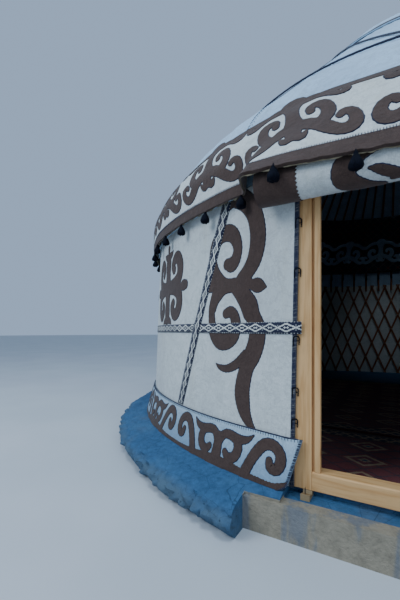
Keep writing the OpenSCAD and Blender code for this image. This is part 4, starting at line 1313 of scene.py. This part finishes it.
class YURT_OT_skirts(Maker, bpy.types.Operator):
    """Stands the ornamented skirts round the foot of the wall"""
    bl_idname = "yurt.skirts"
    bl_label = "Skirts"

    def edge(self, height):
        """Bearing of the skirt's end, which is rounded at its lower corner."""
        straight = edge_bearing(height, SKIRT_EDGE_FOOT, SKIRT_EDGE_HEAD, SKIRT_H)
        cut = SKIRT_CORNER - math.sqrt(max(0, SKIRT_CORNER ** 2 - max(0, SKIRT_CORNER - height) ** 2))
        return straight + cut * WALL_DEG

    def execute(self, context):
        for name, side in (("left", -1), ("right", 1)):
            self.skirt(name, side)
        return {"FINISHED"}

    def skirt(self, name, side):
        def lay(u, v):
            height = SKIRT_H * v
            share = u if side > 0 else 1 - u
            return on_skirt(side * mix(self.edge(height), 180, share), height)

        length = 8.95
        bm = bmesh.new()
        surface(bm, int(length / self.sizes.cell * 1.3), 12, lay,
                lambda u, v: (u * length, v * SKIRT_H))
        felt = piece("skirt_sheet_" + name, bm, "skirt_felt", thickness=SKIRT_T,
                     rounding=0.003)
        extras = self.strokes(name, side) + [self.cords(name, side)]
        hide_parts("skirt_" + name)

    def strokes(self, name, side):
        """Horned waves over a border whose upper edge rises under every wave."""
        sewn = Applique(self.sizes, 0.014, 4)
        for index in range(WAVES):
            bearing = side * (WAVE_A + WAVE_STEP * index)

            def place(x, y, out):
                return on_skirt(bearing + x * SKIRT_DEG, min(y, SKIRT_H - 0.004), out)

            for number, path in enumerate(SKIRT_STROKES):
                for turn in (False, True):
                    if index == WAVES - 1 and turn == (side < 0):
                        continue
                    sewn.stroke(mirrored(path, turn), place, 2 * number + turn)
            sewn.stroke(SKIRT_TRUNK, place, 8)
        count = 900
        wave = random.Random(11)
        heights = []
        for index in range(count + 1):
            bearing = mix(self.edge(0.014), 180, index / count)
            rise = 0.5 + 0.5 * math.cos(math.radians((bearing - WAVE_A) * 360 / WAVE_STEP))
            corner = 0.026 * max(0, 1 - (bearing - self.edge(0.014)) / 1.4)
            heights.append(0.026 + 0.034 * rise ** 2 + corner + wave.uniform(-0.0012, 0.0012)
                           + 0.003 * (index % 2))

        def border(u, v):
            top = heights[round(u * count)]
            height = 0.002 + (top - 0.002) * v
            return on_skirt(side * mix(self.edge(height) + 0.1, 180, u), height,
                            self.sizes.applique * 0.9)

        surface(sewn.felt, count, 2, border)
        return sewn.pieces("skirt_ornament_" + name, outward)

    def cords(self, name, side):
        """A cord along the top edge and whip stitches round the end."""
        bm = bmesh.new()
        top = [on_skirt(side * mix(self.edge(SKIRT_H) + 0.3, 180, i / 420), SKIRT_H - 0.002, -0.004)
               for i in range(421)]
        tube(bm, top, 0.0055, 6)
        chance = random.Random(21)
        corner = [SKIRT_H * i / 44 for i in range(45)]
        rim = [(self.edge(min(max(height, 0.001), SKIRT_H - 0.001)), height) for height in corner]
        for bearing, height in rim:
            lean = chance.uniform(-0.002, 0.002)
            stitch(bm, on_skirt(side * (bearing - 0.04), height, 0.0),
                   on_skirt(side * (bearing + 0.30), height + lean, 0.0018), 0.0026)
        for index in range(500):
            bearing = side * mix(self.edge(SKIRT_H) + 0.3, 180, (index + 0.5) / 500)
            stitch(bm, on_skirt(bearing, SKIRT_H - 0.001, 0.001),
                   on_skirt(bearing + 0.05, SKIRT_H - 0.016, 0.0012), 0.0018)
        return piece("skirt_cord_" + name, bm, "navy_thread")


class YURT_OT_roof_felts(Maker, bpy.types.Operator):
    """Lays the roof felts over the poles, with their seams"""
    bl_idname = "yurt.roof_felts"
    bl_label = "Roof felts"

    def execute(self, context):
        spans = {"front": (-FRONT_FELT_A, FRONT_FELT_A, ROOF_RUN_FRONT),
                 "right": (FRONT_FELT_A, REAR_FELT_A, ROOF_RUN),
                 "rear": (REAR_FELT_A, 360 - REAR_FELT_A, ROOF_RUN),
                 "left": (-REAR_FELT_A, -FRONT_FELT_A, ROOF_RUN)}
        for name, (start, end, run) in spans.items():
            self.felt(name, start, end, run)
        return {"FINISHED"}

    def felt(self, name, start, end, run):
        bm = bmesh.new()

        def lay(u, v):
            return on_roof(mix(start, end, u), run * (1 - v))

        columns = int((end - start) / 0.75)
        wide = math.radians(end - start) * EAVE_R
        surface(bm, columns, 52, lay, lambda u, v: (u * wide, v * run))
        felt = piece("roof_felt_sheet_" + name, bm, "roof_felt",
                     thickness=self.sizes.felt, rounding=0.003)
        area = math.radians(end - start) * sum(
            roof_profile(run * (i + 0.5) / 100)[0] for i in range(100)) * run / 100
        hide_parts("roof_felt_" + name)
        min(area, wide * run * 0.98)
        "roof_poles_" + name
        self.seams(name, start, end, run)

    def seams(self, name, start, end, run):
        """A seam line of dark stitches near each end of the sheet."""
        bm = bmesh.new()
        chance = random.Random(31)
        for edge, inward in ((start, 1), (end, -1)):
            for index in range(int(run / 0.034)):
                spot = (index + 0.5) * 0.034
                radius = roof_profile(spot)[0]
                reach = math.degrees(0.012 / radius)
                bearing = edge + inward * (reach + math.degrees(0.006 / radius))
                lean = chance.uniform(-0.003, 0.003)
                stitch(bm, on_roof(bearing, spot + 0.008, 0.0012),
                       on_roof(bearing - inward * reach, spot - 0.008 + lean, 0.0012), 0.0024)
        return piece("roof_seam_" + name, bm, "navy_thread")


class YURT_OT_roof_bands(Maker, bpy.types.Operator):
    """Sews the ornamented band round the eave"""
    bl_idname = "yurt.roof_bands"
    bl_label = "Roof bands"

    def execute(self, context):
        spans = {"front": (-SWELL_A, SWELL_A), "right": (SWELL_A, 90), "rear": (90, 270),
                 "left": (-90, -SWELL_A)}
        for name, (start, end) in spans.items():
            self.band(name, start, end)
        return {"FINISHED"}

    def band(self, name, start, end):
        bm = bmesh.new()

        def lay(u, v):
            bearing = mix(start, end, u)
            return on_band(bearing, mix(BAND_RUN, band_top(bearing), v))

        length = math.radians(end - start) * BAND_R
        surface(bm, int(length / 0.03), 18, lay, lambda u, v: (u * length, v * BAND_RUN))
        felt = piece("roof_band_sheet_" + name, bm, "white_felt", thickness=BAND_T,
                     rounding=0.003)
        extras = self.strokes(name, start, end) + [self.hem(name, start, end),
                                                   self.lining(name, start, end),
                                                   self.hem_stitches(name, start, end)]
        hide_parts("roof_band_" + name)

    def strokes(self, name, start, end):
        """The trees of horns, each stroke on the length of band that its middle lies on."""
        sewn = Applique(self.sizes, 0.02, 4)
        for index in range(TREES):
            bearing = TREE_A + TREE_STEP * index
            bearing = bearing - 360 if bearing > 270 else bearing
            for turn in (bearing - 360, bearing, bearing + 360):
                fade = min(1, max(0, (LEAN_END_A - abs(turn)) / LEAN_FADE_A))
                lean = TREE_LEAN * min(1, max(-1, turn / LEAN_FULL_A)) * fade

                def place(x, y, out):
                    spot = turn + (x + lean * (LEAN_Z - y)) * BAND_DEG
                    return on_band(spot, y + band_top(spot) * (1 - y / BAND_RUN), out)

                for number, path in enumerate(BAND_STROKES + [BAND_TRUNK]):
                    for flip in ((False,) if path is BAND_TRUNK else (False, True)):
                        turned = mirrored(path, flip)
                        middle = turn + sum(p[0] for p in turned) / len(turned) * BAND_DEG
                        if start <= middle < end:
                            sewn.stroke(turned, place, 2 * number + flip)
        length = math.radians(end - start) * BAND_R

        def border(u, v):
            bearing = mix(start, end, u)
            return on_band(bearing, band_top(bearing) + 0.001 + BORDER_W * v, self.sizes.applique * 0.9)

        surface(sewn.felt, int(length / 0.04), 3, border)
        return sewn.pieces("roof_band_ornament_" + name, outward)

    def wave(self, bearing, seed):
        """How far the worn hem waves up and down."""
        return 0.006 * noise.noise(Vector((bearing * 1.1, 0, seed))) \
            + 0.003 * noise.noise(Vector((bearing * 4.5, 2, seed)))

    def hem(self, name, start, end):
        """The brown hem with its uneven lower edge."""
        thick = self.sizes.applique + 0.0012
        bm = bmesh.new()
        length = math.radians(end - start) * BAND_R

        def lay(u, v):
            bearing = mix(start, end, u)
            low = BAND_RUN + 0.010 + self.wave(bearing, 5) * v
            return on_band(bearing, mix(BAND_RUN - HEM_W, low, v), thick)

        surface(bm, int(length / 0.012), 4, lay)
        outward(bm)
        return piece("roof_band_hem_" + name, bm, "brown_felt",
                     thickness=thick + BAND_T + 0.001, rounding=0.0015)

    def lining(self, name, start, end):
        """The old canvas lining, which shows in folds under the hem."""
        bm = bmesh.new()
        length = math.radians(end - start) * BAND_R

        def lay(u, v):
            bearing = mix(start, end, u)
            low = BAND_RUN + 0.013 + self.wave(bearing, 8) * 1.9
            fold = 0.004 * noise.noise(Vector((bearing * 3.1, 1, 3))) * v
            return on_band(bearing, mix(BAND_RUN - 0.03, low, v), -BAND_T - 0.001 - abs(fold))

        surface(bm, int(length / 0.012), 4, lay)
        outward(bm)
        return piece("roof_band_lining_" + name, bm, "canvas", thickness=0.0015)

    def hem_stitches(self, name, start, end):
        bm = bmesh.new()
        chance = random.Random(41)
        count = int(math.radians(end - start) * BAND_R / self.sizes.stitch)
        for index in range(count):
            bearing = mix(start, end, (index + 0.5) / count)
            lean = chance.uniform(-0.06, 0.06)
            stitch(bm, on_band(bearing, BAND_RUN - HEM_W - 0.012, 0.0012),
                   on_band(bearing + lean, BAND_RUN - HEM_W + 0.009, self.sizes.applique + 0.0018),
                   0.0019)
        return piece("roof_band_stitches_" + name, bm, "navy_thread")


class YURT_OT_woven_bands(Maker, bpy.types.Operator):
    """Ties the woven bands round the wall"""
    bl_idname = "yurt.woven_bands"
    bl_label = "Woven bands"

    def execute(self, context):
        start = math.degrees(math.atan(GIRTH_EDGE / FLAP_FRONT))
        length = math.radians(360 - 2 * start) * GIRTH_R

        def lay(u, v):
            turn = mix(start, 360 - start, u)
            bearing = turn if turn <= 180 else turn - 360
            sag = 0.004 * math.sin(math.radians(bearing) * 9) * math.sin(math.radians(turn) / 2)
            return on_wall(bearing, GIRTH_Z + GIRTH_W * v + sag, SEAT + WEAVE_T)

        bm = bmesh.new()
        surface(bm, 420, 3, lay, lambda u, v: ((v - 0.5) * GIRTH_W, u * length))
        band = piece("girth_weaving", bm, "girth_weave", thickness=WEAVE_T)
        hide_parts("girth_band")
        self.slants()
        return {"FINISHED"}

    def slants(self):
        z0, z1 = SKIRT_H + 0.006, BAND_HEM + 0.020
        half = math.degrees(SLANT_W / 2 / WALL_FOOT_R)
        length = 1.54
        for side in (-1, 1):
            for index in range(4):
                turn = SLANT_TURN * index

                def lay(u, v):
                    share = 1 - v
                    height = mix(z0, z1, share)
                    bearing = side * mix(SLANT_FOOT + turn, SLANT_HEAD + turn, share)
                    width = half * (1 + 0.06 * math.sin(share * 9 + index))
                    over = 0.0042 * max(0, 1 - max(0, abs(height - GIRTH_Z - GIRTH_W / 2)
                                                   - GIRTH_W * 0.6) / 0.03)
                    return on_wall(bearing + (2 * u - 1) * width, height,
                                   SEAT + WEAVE_T + 0.0006 + over)

                bm = bmesh.new()
                surface(bm, 3, 48, lay, lambda u, v: ((u - 0.5) * SLANT_W, v * length), back=True)
                name = f"slant_weaving_{'left' if side < 0 else 'right'}_{index}"
                band = piece(name, bm, "slant_weave", thickness=WEAVE_T)
                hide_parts("slant_bands")


class YURT_OT_tassels(Maker, bpy.types.Operator):
    """Hangs the wool tassels from the eave and from the frieze"""
    bl_idname = "yurt.tassels"
    bl_label = "Tassels"
    strands = 30
    fullness = 1.18

    def execute(self, context):
        bm = bmesh.new()
        chance = random.Random(51)
        for index in range(TASSELS):
            turn = (index + 0.5) * 360 / TASSELS
            bearing = turn - 360 if turn > 180 else turn
            head = on_band(bearing, BAND_RUN, -BAND_T / 2)
            hem = front_hem(bearing)
            if abs(bearing) <= SWELL_A and abs(front_hem_r(bearing) * sine(bearing)) <= ROLL_L / 2:
                head = Vector((front_hem_r(bearing) * sine(bearing), -self.rest(hem),
                               PLINTH_TOP + hem + 0.006))
            self.hang(bm, head, TASSEL_L, TASSEL_R * self.fullness, chance)
        outer = piece("eave_tassels", bm, "black_wool")
        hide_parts("outer_tassels")
        bm = bmesh.new()
        radius = frieze_profile(FRIEZE_RUN)[0]
        for index in range(6, 74):
            head = at((index + 0.5) * HEAD_STEP, radius + 0.003, FRIEZE_HEM)
            self.hang(bm, head, TASSEL_L * 1.4, TASSEL_R * 0.6, chance)
        inner = piece("frieze_tassels", bm, "black_wool")
        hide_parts("inner_tassels")
        return {"FINISHED"}

    def rest(self, hem):
        """How far out a tassel hangs where it lies against the rolled door."""
        def face(height):
            return ROLL_Y + math.sqrt(max(0, ROLL_R ** 2 - max(0, height - ROLL_Z) ** 2))
        return SEAT + max(face(hem - TASSEL_L) + 0.9 * TASSEL_R,
                          face(hem - 0.9 * TASSEL_L) + TASSEL_R) + TASSEL_R * (self.fullness - 1)

    def hang(self, bm, head, length, radius, chance):
        """Makes one tassel by itself, which is quick, and adds it to the others."""
        one = bmesh.new()
        self.tassel(one, head, length, radius, chance)
        mesh = bpy.data.meshes.new("tassel")
        one.to_mesh(mesh)
        one.free()
        bm.from_mesh(mesh)
        bpy.data.meshes.remove(mesh)

    def tassel(self, bm, head, length, radius, chance):
        """A cord, a bound neck and a drop of yarn with loose strands all round it."""
        profile = [(0.08, 0.02), (0.10, -0.04), (0.12, -0.08), (0.26, -0.12), (0.33, -0.17),
                   (0.30, -0.22), (0.48, -0.33), (0.74, -0.50), (0.94, -0.68), (1.0, -0.82),
                   (0.88, -0.93), (0.5, -1.0), (0.1, -0.985)]
        lathe(bm, [(r * radius, z * length) for r, z in profile], 16, 0.00005)
        sway = Vector((chance.uniform(-1, 1), chance.uniform(-1, 1), 0)) * 0.003
        turn = chance.uniform(0, math.tau)
        for vert in bm.verts:
            depth = -vert.co.z / length
            if depth > 0.28:
                angle = math.atan2(vert.co.y, vert.co.x)
                ragged = 1 + 0.08 * math.cos(angle * 8) + 0.05 * math.sin(angle * 3 + turn)
                vert.co.x *= ragged
                vert.co.y *= ragged
                vert.co.z += 0.004 * math.sin(angle * 5 + turn) * (depth - 0.28)
            vert.co += head + sway * max(0, depth)
        for index in range(self.strands):
            angle = math.tau * (index + chance.uniform(0, 0.8)) / self.strands
            out = Vector((math.cos(angle), math.sin(angle), 0)) * radius
            top = head + out * 0.52 + Vector((0, 0, -0.36 * length))
            low = head + sway + out * chance.uniform(0.80, 1.12) \
                + Vector((0, 0, -length * chance.uniform(0.84, 1.05)))
            stitch(bm, top, low, 0.0016)


class YURT_OT_door_roll(Maker, bpy.types.Operator):
    """Rolls up the felt door over the lintel"""
    bl_idname = "yurt.door_roll"
    bl_label = "Rolled door"

    def execute(self, context):
        mean_r = ROLL_R - ROLL_PITCH * ROLL_TURNS / 2
        run = ROLL_TAIL + math.tau * ROLL_TURNS * mean_r
        flap = 2 * (EDGE_HEAD - 0.010)

        def lay(u, v):
            spot = v * run
            width = mix(flap, ROLL_L, min(1, max(0, (spot - 0.06) / 0.1)))
            return on_roll((u - 0.5) * width, spot, 0)

        bm = bmesh.new()
        surface(bm, 36, 150, lay, lambda u, v: (u * ROLL_L, v * run))
        felt = piece("door_felt_sheet", bm, "white_felt",
                     thickness=self.sizes.felt - 0.001, rounding=0.003)
        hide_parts("door_felt_roll")
        self.strokes()
        return {"FINISHED"}

    def strokes(self):
        sewn = Applique(self.sizes, 0.012, 6)
        for index, path in enumerate(ROLL_STROKES):
            for flip in (False, True):
                sewn.stroke(mirrored(path, flip), on_roll_front, 2 * index + flip)
        thick = self.sizes.applique
        for side in (-1, 1):
            def lay(u, v):
                pink = TOOTH_DEPTH * abs((u * TEETH) % 2 - 1)
                return on_roll_front(side * mix(ROLL_HEM_IN + pink, ROLL_HEM_OUT, v),
                                     mix(-0.30, 0.20, u),
                                     thick + 0.0005)

            surface(sewn.felt, 92, 5, lay)
        return sewn.pieces("door_felt_ornament", self.away)

    def away(self, bm):
        """Turns faces away from the middle line of the roll."""
        turn_over(bm, lambda centre, normal: normal.dot(
            centre - Vector((centre.x, -ROLL_Y, PLINTH_TOP + ROLL_Z))) < 0)


class YURT_OT_crown_cover(Maker, bpy.types.Operator):
    """Folds the crown felt back over the left half of the crown"""
    bl_idname = "yurt.crown_cover"
    bl_label = "Crown felt"

    def profile(self):
        """[radius, height] down the cover, with the direction that its face looks."""
        clear_r = BOW_R + 0.014 + self.sizes.felt
        mid_z = RING_TOP + BOW_RISE - BOW_R
        brim = math.degrees(math.acos((RING_OUT + 0.006) / (clear_r - self.sizes.felt)))
        points = [(clear_r * cosine(mix(89.4, brim, i / 14)),
                   mid_z + clear_r * sine(mix(89.4, brim, i / 14))) for i in range(15)]
        for share in range(1, 9):
            radius = RING_OUT + 0.030 + (COVER_LAP - 0.030) * share / 8
            points.append((radius, line_height(ROOF_OUT + 0.004 + self.sizes.felt, radius)))
        return points

    def on_cover(self, bearing, share, out):
        points = self.profile()
        spot = share * (len(points) - 1)
        index = min(int(spot), len(points) - 2)
        part = spot - index
        low, high = points[index], points[index + 1]
        fall = Vector((high[0] - low[0], high[1] - low[1])).normalized()
        radius, height = mix(low[0], high[0], part), mix(low[1], high[1], part)
        wave = 0.010 * share * noise.noise(Vector((bearing * 0.06, share * 3, 9)))
        lift = out + abs(wave)
        return at(bearing, radius - fall.y * lift, height + fall.x * lift)

    def execute(self, context):
        def lay(u, v):
            return self.on_cover(mix(COVER_END, COVER_START, u), v, 0)

        bm = bmesh.new()
        surface(bm, 110, 44, lay, lambda u, v: (u * 3.3, v * 1.2))
        bmesh.ops.remove_doubles(bm, verts=bm.verts, dist=0.0004)
        felt = piece("crown_felt_sheet", bm, "roof_felt", thickness=self.sizes.felt,
                     rounding=0.003)
        bm = bmesh.new()
        thick = self.sizes.applique
        surface(bm, 110, 3, lambda u, v: self.on_cover(mix(COVER_END, COVER_START, u),
                                                       mix(0.90, 1.0, v), thick))
        surface(bm, 3, 60, lambda u, v: self.on_cover(COVER_START + COVER_HEM_A * u, v, thick + 0.0005))
        surface(bm, 3, 60, lambda u, v: self.on_cover(COVER_END - COVER_HEM_A * u, v, thick + 0.0005))
        outward(bm)
        border = piece("crown_felt_border", bm, "brown_felt", thickness=thick + 0.001)
        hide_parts("crown_cover")
        return {"FINISHED"}


class YURT_OT_ropes(Maker, bpy.types.Operator):
    """Ties the roof ropes and the loops at the jambs"""
    bl_idname = "yurt.ropes"
    bl_label = "Ropes and ties"

    def execute(self, context):
        bm = bmesh.new()
        for turn in range(0, 360, 90):
            for start_a, start_r, end_a, end_r in ROPE_ENDS:
                first, last = at(start_a + turn, start_r, 0), at(end_a + turn, end_r, 0)
                points = []
                for index in range(181):
                    spot = first.lerp(last, index / 180)
                    radius = math.hypot(spot.x, spot.y)
                    distance = ROOF_OUT + 0.0085
                    height = line_height(distance, radius) if radius < BEND_END[0] + 0.02 else \
                        BEND_C[1] + math.sqrt((BEND_R + distance) ** 2 - (radius - BEND_C[0]) ** 2)
                    points.append(Vector((spot.x, spot.y, PLINTH_TOP + height)))
                tube(bm, points, 0.0075, 8, 3, 0.9)
        ropes = piece("roof_rope_lines", bm, "navy_thread")
        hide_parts("roof_ropes")
        bm = bmesh.new()
        for side in (-1, 1):
            for height in TIE_HEIGHTS:
                edge = mix(EDGE_FOOT, EDGE_HEAD, height / WALL_H)
                route = [(0.012, 0.016, -0.030), (0.013, 0.018, 0.0), (0.009, 0.018, 0.022),
                         (-0.004, 0.016, 0.026), (-0.016, 0.008, 0.020), (-0.017, 0.005, 0.0),
                         (-0.016, 0.005, -0.022)]
                points = [Vector((side * (edge + x), -FRAME_FRONT - out, PLINTH_TOP + height + z))
                          for x, out, z in (spline(route, i / 30) for i in range(31))]
                tube(bm, points, 0.0034, 8, 3, 0.7)
                middle = Vector((side * (edge - 0.002), -FRAME_FRONT - 0.015, PLINTH_TOP + height))
                stitch(bm, middle + Vector((side * 0.014, 0, 0.004)),
                       middle + Vector((-side * 0.014, 0.008, 0)), 0.0036)
        ties = piece("jamb_loops", bm, "black_wool")
        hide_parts("jamb_ties")
        return {"FINISHED"}


class YURT_OT_frieze(Maker, bpy.types.Operator):
    """Hangs the ornamented frieze inside the roof"""
    bl_idname = "yurt.frieze"
    bl_label = "Frieze"

    def execute(self, context):
        run = FRIEZE_RUN
        length = math.radians(360 - 2 * FRIEZE_OPEN) * FRIEZE_R

        def lay(u, v):
            return on_frieze(mix(FRIEZE_OPEN, 360 - FRIEZE_OPEN, u), run * (1 - v), 0)

        bm = bmesh.new()
        surface(bm, 300, 20, lay, lambda u, v: (u * length, v * run), back=True)
        cloth = piece("frieze_sheet", bm, "frieze_cloth", thickness=FRIEZE_T)
        bm = bmesh.new()
        first = FRIEZE_OPEN + FRIEZE_END_A
        for index in range(FRIEZE_TREES):
            bearing = first + index * (360 - 2 * first) / (FRIEZE_TREES - 1)

            def place(x, y, out):
                return on_frieze(bearing + x * BAND_DEG * FRIEZE_SPREAD, FRIEZE_TREE_Z + y, out)

            stroke(bm, BAND_TRUNK, place, 0.003)
            for number, path in enumerate(BAND_STROKES):
                for flip in (False, True):
                    stroke(bm, mirrored(path, flip), place, 0.0031 + 0.0001 * number
                           + 0.00005 * flip)
        turn_over(bm, lambda centre, normal: normal.dot(Vector((centre.x, centre.y, 0.0))) > 0)
        horns = piece("frieze_ornament", bm, "roof_felt", thickness=0.003)
        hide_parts("inner_frieze")
        return {"FINISHED"}


class YURT_OT_rugs(Maker, bpy.types.Operator):
    """Lays the two rugs and their fringes"""
    bl_idname = "yurt.rugs"
    bl_label = "Rugs"

    def execute(self, context):
        for node in ("entry_rug", "main_rug"):
            low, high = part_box(node)
            width, length = high[0] - low[0], high[1] - low[1]
            top = high[2]

            def lay(u, v):
                x, y = mix(low[0], high[0], u), mix(low[1], high[1], v)
                near = min(x - low[0], high[0] - x, y - low[1], high[1] - y)
                curl = 0.003 * noise.noise(Vector((x * 2, y * 2, 4))) * min(1, near / 0.1)
                return Vector((x, y, top + max(0.0, curl)))

            bm = bmesh.new()
            surface(bm, int(width / 0.05), int(length / 0.05), lay,
                    lambda u, v: (u * width, v * length))
            main = bm.loops.layers.uv.verify()
            inset = bm.loops.layers.uv.new("Inset")
            for face in bm.faces:
                for loop in face.loops:
                    x, y = loop[main].uv
                    loop[inset].uv = (min(x, width - x, y, length - y), 0)
            rug = piece(node + "_pile", bm, "rug_pile", thickness=high[2] - low[2])
            fringe = self.fringe(node, low, high)
            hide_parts(node)
        return {"FINISHED"}

    def fringe(self, node, low, high):
        """Short cotton ends at both short sides."""
        bm = bmesh.new()
        chance = random.Random(61)
        count = int((high[0] - low[0]) / 0.016)
        for end, out in ((low[1], -1), (high[1], 1)):
            for index in range(count):
                x = mix(low[0], high[0], (index + 0.5) / count)
                reach = 0.018 if end == low[1] and node == "entry_rug" else 0.010
                start = Vector((x, end, low[2] + 0.005))
                stitch(bm, start, start + Vector((chance.uniform(-0.004, 0.004), out * reach,
                                                  -0.003)), 0.0018)
        return piece(node + "_fringe", bm, "rawhide")


OPERATORS = (YURT_OT_stage, YURT_OT_plinth, YURT_OT_timbers, YURT_OT_framework,
             YURT_OT_wall_felts, YURT_OT_skirts, YURT_OT_roof_felts, YURT_OT_roof_bands,
             YURT_OT_woven_bands, YURT_OT_tassels, YURT_OT_door_roll, YURT_OT_crown_cover,
             YURT_OT_ropes, YURT_OT_frieze, YURT_OT_rugs)


class YURT_PT_panel(bpy.types.Panel):
    """Sizes, colours and the pieces of the yurt"""
    bl_idname = "YURT_PT_panel"
    bl_label = "Yurt"
    bl_space_type = "VIEW_3D"
    bl_region_type = "UI"
    bl_category = "Yurt"

    def draw(self, context):
        for group in (context.scene.yurt_sizes, context.scene.yurt_colours):
            box = self.layout.box()
            for key in type(group).__annotations__:
                box.prop(group, key)
        for operator in OPERATORS:
            self.layout.operator(operator.bl_idname)


CLASSES = (YurtSizes, YurtColours, *OPERATORS, YURT_PT_panel)


def register():
    for cls in CLASSES:
        bpy.utils.register_class(cls)
    bpy.types.Scene.yurt_sizes = bpy.props.PointerProperty(type=YurtSizes)
    bpy.types.Scene.yurt_colours = bpy.props.PointerProperty(type=YurtColours)


def unregister():
    del bpy.types.Scene.yurt_colours
    del bpy.types.Scene.yurt_sizes
    for cls in reversed(CLASSES):
        bpy.utils.unregister_class(cls)


def main():
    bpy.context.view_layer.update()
    register()
    for operator in OPERATORS:
        group, name = operator.bl_idname.split(".")
        getattr(getattr(bpy.ops, group), name)()
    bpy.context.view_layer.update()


if __name__ == "__main__":
    main()
